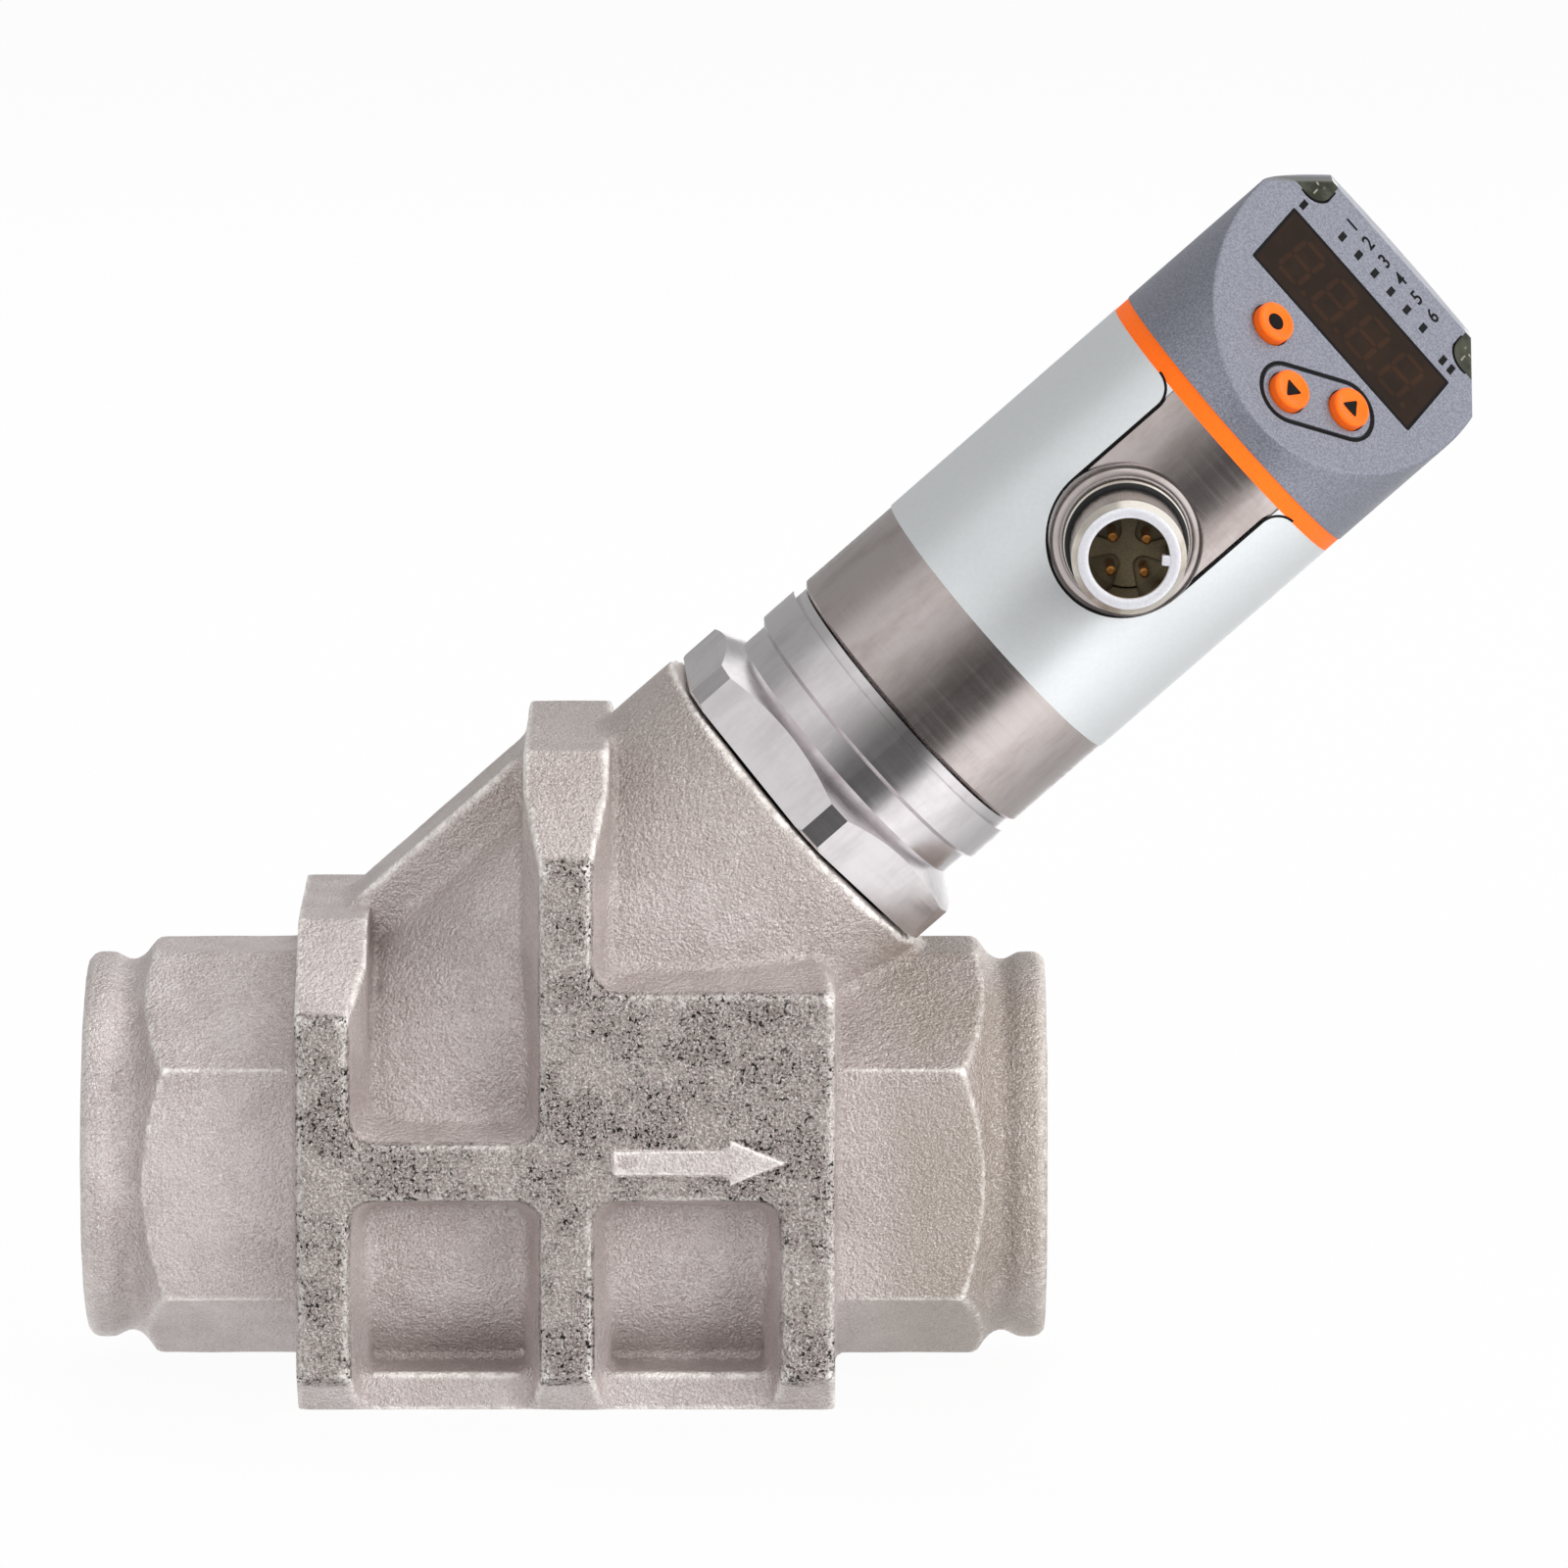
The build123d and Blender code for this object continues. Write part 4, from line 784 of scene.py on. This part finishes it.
def makeFoilLine():
    # drawn flat across and along the sleeve, then laid on its round
    sizes = foilSizes
    straight = sizes["end"] - plugSizes["s"] - sizes["cornerRadius"]
    bm = bmesh.new()
    first = bm.verts.new((sizes["windowRadius"], 0, 0))
    bmesh.ops.spin(bm, geom=[first], cent=(0, 0, 0), axis=(0, 0, 1), angle=-math.pi, steps=sizes["arcSteps"])
    for side in (-1, 1):
        end = min(bm.verts, key=lambda v: abs(v.co.x - side * sizes["windowRadius"]) + abs(v.co.y))
        run = bmesh.ops.extrude_vert_indiv(bm, verts=[end])["verts"]
        bmesh.ops.translate(bm, verts=run, vec=(0, straight, 0))
        centre = (side * (sizes["windowRadius"] + sizes["cornerRadius"]), straight, 0)
        bmesh.ops.spin(
            bm, geom=run, cent=centre, axis=(0, 0, 1), angle=-side * math.pi / 2, steps=sizes["cornerSteps"],
        )
    longEdges = [edge for edge in bm.edges if edge.calc_length() > sizes["longest"]]
    bmesh.ops.subdivide_edges(bm, edges=longEdges, cuts=sizes["cuts"])
    grown = bmesh.ops.extrude_edge_only(bm, edges=bm.edges[:])["geom"]
    for vertex in vertsIn(grown):
        # into the opening: from the round end, from a straight side or out of a corner
        if vertex.co.y < 0:
            inward = -vertex.co
        elif vertex.co.y > straight:
            side = math.copysign(1, vertex.co.x)
            inward = vertex.co - Vector((side * (sizes["windowRadius"] + sizes["cornerRadius"]), straight, 0))
        else:
            inward = Vector((-vertex.co.x, 0, 0))
        vertex.co += inward.normalized() * sizes["line"]
    for vertex in bm.verts:
        across = vertex.co.x
        depth = math.sqrt(max(0.0, sizes["radius"] ** 2 - across ** 2))
        vertex.co = Vector((across, -depth, plugSizes["s"] + vertex.co.y))
    toMetres(bm)
    bmesh.ops.recalc_face_normals(bm, faces=bm.faces)
    for face in bm.faces:
        if face.normal.y > 0:
            face.normal_flip()
    return addPiece("foil_line", bm, "head", "blackPrint", sensorFrame)


makeFoilLine()

# Pipe threads as ridges on their own spiral, in the two mouths of the body
threadSizes = {
    "minor": 15.15, "major": 16.55, "pitch": 2.309, "start": 1.6, "end": 18.2, "steps": 64,
    "crestStart": 0.42, "crestEnd": 0.58, "merge": 0.01,
}


def makeThread(name, faceX, facing):
    sizes = threadSizes
    turns = (sizes["end"] - sizes["start"]) / sizes["pitch"] - 1
    profile = [
        (0.0, sizes["major"]), (sizes["crestStart"], sizes["minor"]), (sizes["crestEnd"], sizes["minor"]),
        (1.0, sizes["major"]),
    ]
    bm = bmesh.new()
    verts = [
        bm.verts.new(((sizes["start"] + place * sizes["pitch"]) * mm, 0, radius * mm))
        for place, radius in profile
    ]
    edges = [bm.edges.new(pair) for pair in zip(verts, verts[1:])]
    bmesh.ops.spin(
        bm, geom=verts + edges, cent=(0, 0, 0), axis=(1, 0, 0), angle=turns * 2 * math.pi,
        dvec=(sizes["pitch"] * mm / sizes["steps"], 0, 0), steps=int(turns * sizes["steps"]), use_merge=False,
    )
    bmesh.ops.remove_doubles(bm, verts=bm.verts, dist=sizes["merge"] * mm)
    bmesh.ops.recalc_face_normals(bm, faces=bm.faces)
    # the ridges face the pipe's axis
    first = min(bm.faces, key=lambda face: face.calc_center_median().x)
    outward = Vector((0, first.calc_center_median().y, first.calc_center_median().z))
    if first.normal.dot(outward) > 0:
        bmesh.ops.reverse_faces(bm, faces=bm.faces)
    if facing < 0:
        bmesh.ops.rotate(bm, verts=bm.verts, cent=(0, 0, 0), matrix=Matrix.Rotation(math.pi, 3, "Z"))
    bmesh.ops.translate(bm, verts=bm.verts, vec=(faceX * mm, 0, 0))
    return addPiece(name, bm, "housing", "turnedSteel", smooth=False)


makeThread("inlet_thread", 0.0, 1)
makeThread("outlet_thread", bodyForm["length"], -1)
print("threads cut")

# Display: border and faint digits on the window
displaySizes = {
    "v": 20.45, "width": 24.9, "height": 9.4, "border": 0.45, "lift": 0.012,
    "digits": 4, "pitch": 5.3, "digitWidth": 3.0, "digitHeight": 5.6, "bar": 0.62, "gap": 0.12,
    "slant": 0.12, "dotRadius": 0.36, "dotGap": 0.75, "dotCorners": 12,
}


def makeScreenBorder():
    sizes = displaySizes
    bm = bmesh.new()
    bmesh.ops.create_grid(bm, x_segments=1, y_segments=1, size=0.5)
    bmesh.ops.scale(bm, verts=bm.verts, vec=(sizes["width"] * mm, sizes["height"] * mm, 1))
    border = sizes["border"] * mm
    ring = bmesh.ops.inset_region(bm, faces=bm.faces[:], thickness=border, use_boundary=True)["faces"]
    middle = [face for face in bm.faces if face not in ring]
    bmesh.ops.delete(bm, geom=middle, context="FACES")
    bmesh.ops.translate(bm, verts=bm.verts, vec=(0, sizes["v"] * mm, sizes["lift"] * mm))
    return addPrint("screen_border", bm)


def addBar(bm, x, y, length, upright):
    # one bar of a digit, pointed at both ends
    half = displaySizes["bar"] / 2
    reach = length / 2 - displaySizes["gap"]
    outline = [
        (-reach, 0), (-reach + half, -half), (reach - half, -half), (reach, 0), (reach - half, half),
        (-reach + half, half),
    ]
    corners = [(across, along) if not upright else (along, across) for across, along in outline]
    verts = [bm.verts.new((x + cx + displaySizes["slant"] * (y + cy), y + cy, 0)) for cx, cy in corners]
    turnForward(bm.faces.new(verts))


def makeSegments():
    sizes = displaySizes
    bm = bmesh.new()
    w, h = sizes["digitWidth"], sizes["digitHeight"]
    for i in range(sizes["digits"]):
        x = (i - (sizes["digits"] - 1) / 2) * sizes["pitch"]
        for y in (-h / 2, 0, h / 2):
            addBar(bm, x, y, w, False)
        for side in (-1, 1):
            for y in (-h / 4, h / 4):
                addBar(bm, x + side * w / 2, y, h / 2, True)
        dot = bmesh.ops.create_circle(
            bm, cap_ends=True, segments=sizes["dotCorners"], radius=sizes["dotRadius"],
        )["verts"]
        bmesh.ops.translate(bm, verts=dot, vec=(x + w / 2 + sizes["dotGap"], -h / 2, 0))
    toMetres(bm)
    bmesh.ops.translate(bm, verts=bm.verts, vec=(0, sizes["v"] * mm, sizes["lift"] * mm))
    return addPiece("screen_segments", bm, "head", "ghostSegment", faceFrame, smooth=False)


makeScreenBorder()
makeSegments()

# Symbols on the buttons, set into their dish: a dot and two triangles
buttonSizes = {
    "enter": (-6.05, 10.95), "down": (0.0, 6.1), "up": (6.05, 10.95),
    "rise": 1.15, "dish": 0.35, "symbolLift": 0.1, "dotRadius": 0.95, "dotCorners": 32,
    "triangleRadius": 1.25,
}


def makeSymbol(name, corners, radius, turn, key):
    u, v = buttonSizes[key]
    height = buttonSizes["rise"] - buttonSizes["dish"] + buttonSizes["symbolLift"]
    bm = bmesh.new()
    bmesh.ops.create_circle(bm, cap_ends=True, segments=corners, radius=radius * mm)
    bmesh.ops.rotate(bm, verts=bm.verts, matrix=Matrix.Rotation(math.radians(turn), 3, "Z"))
    bmesh.ops.translate(bm, verts=bm.verts, vec=(u * mm, v * mm, height * mm))
    return addPrint(name, bm, key + "_key")


makeSymbol("symbol_dot", buttonSizes["dotCorners"], buttonSizes["dotRadius"], 0, "enter")
makeSymbol("symbol_triangle_down", 3, buttonSizes["triangleRadius"], 180, "down")
makeSymbol("symbol_triangle_up", 3, buttonSizes["triangleRadius"], 0, "up")

# Black line in the groove round the two arrow buttons
capsuleSizes = {"radius": 3.4, "line": 0.44, "lift": 0.015, "steps": 32}


def makeCapsule():
    # one closed line: round the low button, across, round the high one and back
    low, high = Vector((*buttonSizes["down"], 0)), Vector((*buttonSizes["up"], 0))
    along = (high - low).normalized()
    aside = Vector((-along.y, along.x, 0)) * (capsuleSizes["radius"] + capsuleSizes["line"] / 2)
    bm = bmesh.new()
    first = bm.verts.new(low + aside)
    bmesh.ops.spin(bm, geom=[first], cent=low, axis=(0, 0, 1), angle=math.pi, steps=capsuleSizes["steps"])
    end = min(bm.verts, key=lambda vertex: (vertex.co - (low - aside)).length)
    run = bmesh.ops.extrude_vert_indiv(bm, verts=[end])["verts"]
    bmesh.ops.translate(bm, verts=run, vec=high - low)
    bmesh.ops.spin(bm, geom=run, cent=high, axis=(0, 0, 1), angle=math.pi, steps=capsuleSizes["steps"])
    last = min(bm.verts, key=lambda vertex: (vertex.co - (high + aside)).length)
    bm.edges.new((first, last))
    whole = bmesh.ops.edgeloop_fill(bm, edges=bm.edges[:])["faces"]
    line = capsuleSizes["line"]
    ring = bmesh.ops.inset_region(bm, faces=whole, thickness=line, use_boundary=True)["faces"]
    bmesh.ops.delete(bm, geom=[face for face in bm.faces if face not in ring], context="FACES")
    bmesh.ops.recalc_face_normals(bm, faces=bm.faces)
    bmesh.ops.translate(bm, verts=bm.verts, vec=(0, 0, capsuleSizes["lift"]))
    toMetres(bm)
    return addPrint("button_outline", bm)


makeCapsule()

# Plain numbers beside the unit windows, and the marks beside the lamps
printSizes = {
    "unitV": 27.7, "unitPitch": 2.6, "unitCount": 6, "numberV": 30.0, "numberSize": 2.3, "numberBold": 0.04,
    "lift": 0.015, "marks": [(10.4, 26.7), (11.7, 26.7), (-11.9, 26.5)], "markSize": (0.7, 1.3),
}


def makeNumbers():
    for i in range(printSizes["unitCount"]):
        text = bpy.data.curves.new("number", "FONT")
        text.body = str(i + 1)
        text.size = printSizes["numberSize"] * mm
        text.offset = printSizes["numberBold"] * mm
        text.align_x = "CENTER"
        text.align_y = "CENTER"
        holder = bpy.data.objects.new("number", text)
        scene.collection.objects.link(holder)
        graph = bpy.context.evaluated_depsgraph_get()
        mesh = bpy.data.meshes.new_from_object(holder.evaluated_get(graph))
        bpy.data.objects.remove(holder)
        u = (i - (printSizes["unitCount"] - 1) / 2) * printSizes["unitPitch"]
        mesh.transform(Matrix.Rotation(math.radians(90), 4, "Z"))
        mesh.transform(Matrix.Translation((u * mm, printSizes["numberV"] * mm, printSizes["lift"] * mm)))
        mesh.transform(faceFrame)
        addMesh(f"unit_number_{i + 1}", mesh, "head", "blackPrint", smooth=False)


def makeMarks():
    bm = bmesh.new()
    for u, v in printSizes["marks"]:
        addPatch(bm, u, v, *printSizes["markSize"], printSizes["lift"])
    toMetres(bm)
    return addPrint("lamp_marks", bm)


# Dark line and small glints of the two corner lamps
lampSizes = {
    "u": 10.3, "v": 28.0, "corner": 2.2, "line": 0.2, "reachU": 0.7, "reachV": 1.1,
    "lift": 0.02, "steps": 16,
    "glints": [(11.9, 29.2, 0.2, 0.9), (12.3, 30.2, 0.45, 0.25), (11.4, 30.5, 0.25, 0.35)],
}


def makeLampOutlines():
    sizes = lampSizes
    bm = bmesh.new()
    for side in (-1, 1):
        centre = Vector((sizes["u"] + sizes["corner"], sizes["v"] + sizes["corner"], 0))
        verts = [
            bm.verts.new(centre + Vector((sizes["reachU"], -sizes["corner"] - grow, 0)))
            for grow in (0.0, sizes["line"])
        ]
        grown = bmesh.ops.extrude_edge_only(bm, edges=[bm.edges.new(verts)])["geom"]
        bmesh.ops.translate(bm, verts=vertsIn(grown), vec=(-sizes["reachU"], 0, 0))
        corner = bmesh.ops.spin(
            bm, geom=grown, cent=centre, axis=(0, 0, 1), angle=-math.pi / 2, steps=sizes["steps"],
        )
        edge = [item for item in corner["geom_last"] if isinstance(item, bmesh.types.BMEdge)]
        grown = bmesh.ops.extrude_edge_only(bm, edges=edge)["geom"]
        bmesh.ops.translate(bm, verts=vertsIn(grown), vec=(0, sizes["reachV"], 0))
        if side < 0:
            bmesh.ops.scale(bm, verts=bm.verts, vec=(-1, 1, 1))
    for face in bm.faces:
        turnForward(face)
    bmesh.ops.translate(bm, verts=bm.verts, vec=(0, 0, sizes["lift"]))
    toMetres(bm)
    return addPrint("lamp_outlines", bm)


def makeGlints():
    bm = bmesh.new()
    for side in (-1, 1):
        for u, v, width, height in lampSizes["glints"]:
            addPatch(bm, side * u, v, width, height, lampSizes["lift"])
    toMetres(bm)
    return addPiece("lamp_glints", bm, "head", "glint", faceFrame, smooth=False)


makeNumbers()
makeMarks()
makeLampOutlines()
makeGlints()
print("display face finished")

# Floor, camera and light
floorSizes = {"z": -24.35, "size": 6.0}
floorMesh = bpy.data.meshes.new("floor")
bm = bmesh.new()
bmesh.ops.create_grid(bm, x_segments=1, y_segments=1, size=floorSizes["size"])
bmesh.ops.translate(bm, verts=bm.verts, vec=(0, 0, floorSizes["z"] * mm))
bm.to_mesh(floorMesh)
bm.free()
floor = bpy.data.objects.new("floor", floorMesh)
scene.collection.objects.link(floor)
floor.visible_glossy = False


floorFinish = {"base": "#e6e6e6", "roughness": 0.9, "white": 0.95}


def makeFloorFinish():
    # pale for light on the object, near white in view and in reflections
    base, roughness = tone(floorFinish["base"]), floorFinish["roughness"]
    material, tree, shader = newMaterial("paleFloor", Base_Color=base, Roughness=roughness)
    path = tree.nodes.new("ShaderNodeLightPath")
    seen = mathNode(tree, "MAXIMUM", path.outputs["Is Camera Ray"], path.outputs["Is Glossy Ray"])
    seen = mathNode(tree, "MAXIMUM", seen, path.outputs["Is Transmission Ray"])
    glow = addNode(tree, "ShaderNodeEmission", Color=(1, 1, 1, 1), Strength=1.0)
    white = mathNode(tree, "MULTIPLY", seen, floorFinish["white"])
    mix = addNode(tree, "ShaderNodeMixShader", Fac=white)
    tree.links.new(shader.outputs[0], mix.inputs[1])
    tree.links.new(glow.outputs[0], mix.inputs[2])
    tree.links.new(mix.outputs[0], tree.nodes["Material Output"].inputs["Surface"])
    return material


floorMesh.materials.append(makeFloorFinish())

# The room as metal mirrors it: a level for each angle round the sensor's axis, 0 in front and positive
# on the right, then start, full share and level for directions up and down that axis
worldLight = {
    "ambient": 0.42, "alongUp": (0.42, 0.6, 1.4), "alongDown": (-0.4, -0.6, 0.9),
    "bands": [
        (-90, 0.45), (-72, 0.45), (-46, 0.46), (-37, 0.85), (-25, 1.0), (-15, 0.76), (-5, 0.36), (3, 0.14),
        (14, 0.16), (18, 0.3), (22, 1.25), (30, 1.5), (38, 1.25), (46, 0.95), (56, 0.72), (66, 0.6),
        (76, 0.7), (82, 1.3), (90, 1.3),
    ],
}


def makeWorld():
    world = bpy.data.worlds.new("studio")
    world.use_nodes = True
    scene.world = world
    tree = world.node_tree
    back = tree.nodes["Background"]
    path = tree.nodes.new("ShaderNodeLightPath")
    coords = tree.nodes.new("ShaderNodeTexCoord").outputs["Generated"]
    across = addNode(tree, "ShaderNodeVectorMath", {"operation": "DOT_PRODUCT"})
    tree.links.new(coords, across.inputs[0])
    across.inputs[1].default_value = crossDir
    split = addNode(tree, "ShaderNodeSeparateXYZ", Vector=coords)
    ahead = mathNode(tree, "MULTIPLY", split.outputs["Y"], -1.0)
    sweep = mathNode(tree, "ARCTAN2", across.outputs["Value"], ahead)
    place = mathNode(tree, "ADD", mathNode(tree, "DIVIDE", sweep, 2 * math.pi), 0.5)
    ramp = tree.nodes.new("ShaderNodeValToRGB")
    tree.links.new(place, ramp.inputs[0])
    for angle, level in worldLight["bands"][1:-1]:
        ramp.color_ramp.elements.new(angle / 180 + 0.5)
    for element, (angle, level) in zip(ramp.color_ramp.elements, worldLight["bands"]):
        element.position = angle / 180 + 0.5
        element.color = (level, level, level, 1)
    # up and down the axis, as pockets and rims of the body show it
    along = addNode(tree, "ShaderNodeVectorMath", {"operation": "DOT_PRODUCT"})
    tree.links.new(coords, along.inputs[0])
    along.inputs[1].default_value = axisDir
    mirrored = ramp.outputs[0]
    for start, full, level in (worldLight["alongUp"], worldLight["alongDown"]):
        share = spread(tree, along.outputs["Value"], start, full)
        mirrored = blendColour(tree, share, mirrored, (level, level, level, 1))
    ambient = worldLight["ambient"]
    shade = blendColour(tree, path.outputs["Is Glossy Ray"], (ambient, ambient, ambient, 1), mirrored)
    seen = mathNode(tree, "MAXIMUM", path.outputs["Is Camera Ray"], path.outputs["Is Transmission Ray"])
    tree.links.new(blendColour(tree, seen, shade, (1, 1, 1, 1)), back.inputs["Color"])


makeWorld()

lamps = {
    "key": {"place": (1.15, -0.75, 0.3), "size": 0.7, "power": 16.0},
    "front": {"place": (-0.25, -1.2, 0.75), "size": 0.8, "power": 8.0},
    "rim": {"place": (0.1, 0.7, 0.9), "size": 0.6, "power": 6.0},
}
lampAim = Vector((0.07, 0, 0.03))
for name, lamp in lamps.items():
    light = bpy.data.lights.new(name, "AREA")
    light.size = lamp["size"]
    light.energy = lamp["power"]
    holder = bpy.data.objects.new(name, light)
    holder.location = lamp["place"]
    holder.rotation_euler = (lampAim - Vector(lamp["place"])).to_track_quat("-Z", "Y").to_euler()
    holder.visible_glossy = False  # metal mirrors the room's bands instead
    scene.collection.objects.link(holder)

cameraSizes = {
    "target": (0.0742, 0, 0.0391), "distance": 1.27, "elevation": 10.0, "yaw": 0.0, "lens": 274.0,
    "sensor": 36, "near": 0.01, "far": 50,
}
elevation = math.radians(cameraSizes["elevation"])
yaw = math.radians(cameraSizes["yaw"])
level = math.cos(elevation)
away = Vector((math.sin(yaw) * level, -math.cos(yaw) * level, math.sin(elevation)))
view = bpy.data.cameras.new("view")
view.lens = cameraSizes["lens"]
view.sensor_width = cameraSizes["sensor"]
view.clip_start = cameraSizes["near"]
view.clip_end = cameraSizes["far"]
camera = bpy.data.objects.new("view", view)
camera.location = Vector(cameraSizes["target"]) + away * cameraSizes["distance"]
camera.rotation_euler = away.to_track_quat("Z", "Y").to_euler()
scene.collection.objects.link(camera)
scene.camera = camera
scene.view_settings.view_transform = "Standard"
print("stage, light and camera set")
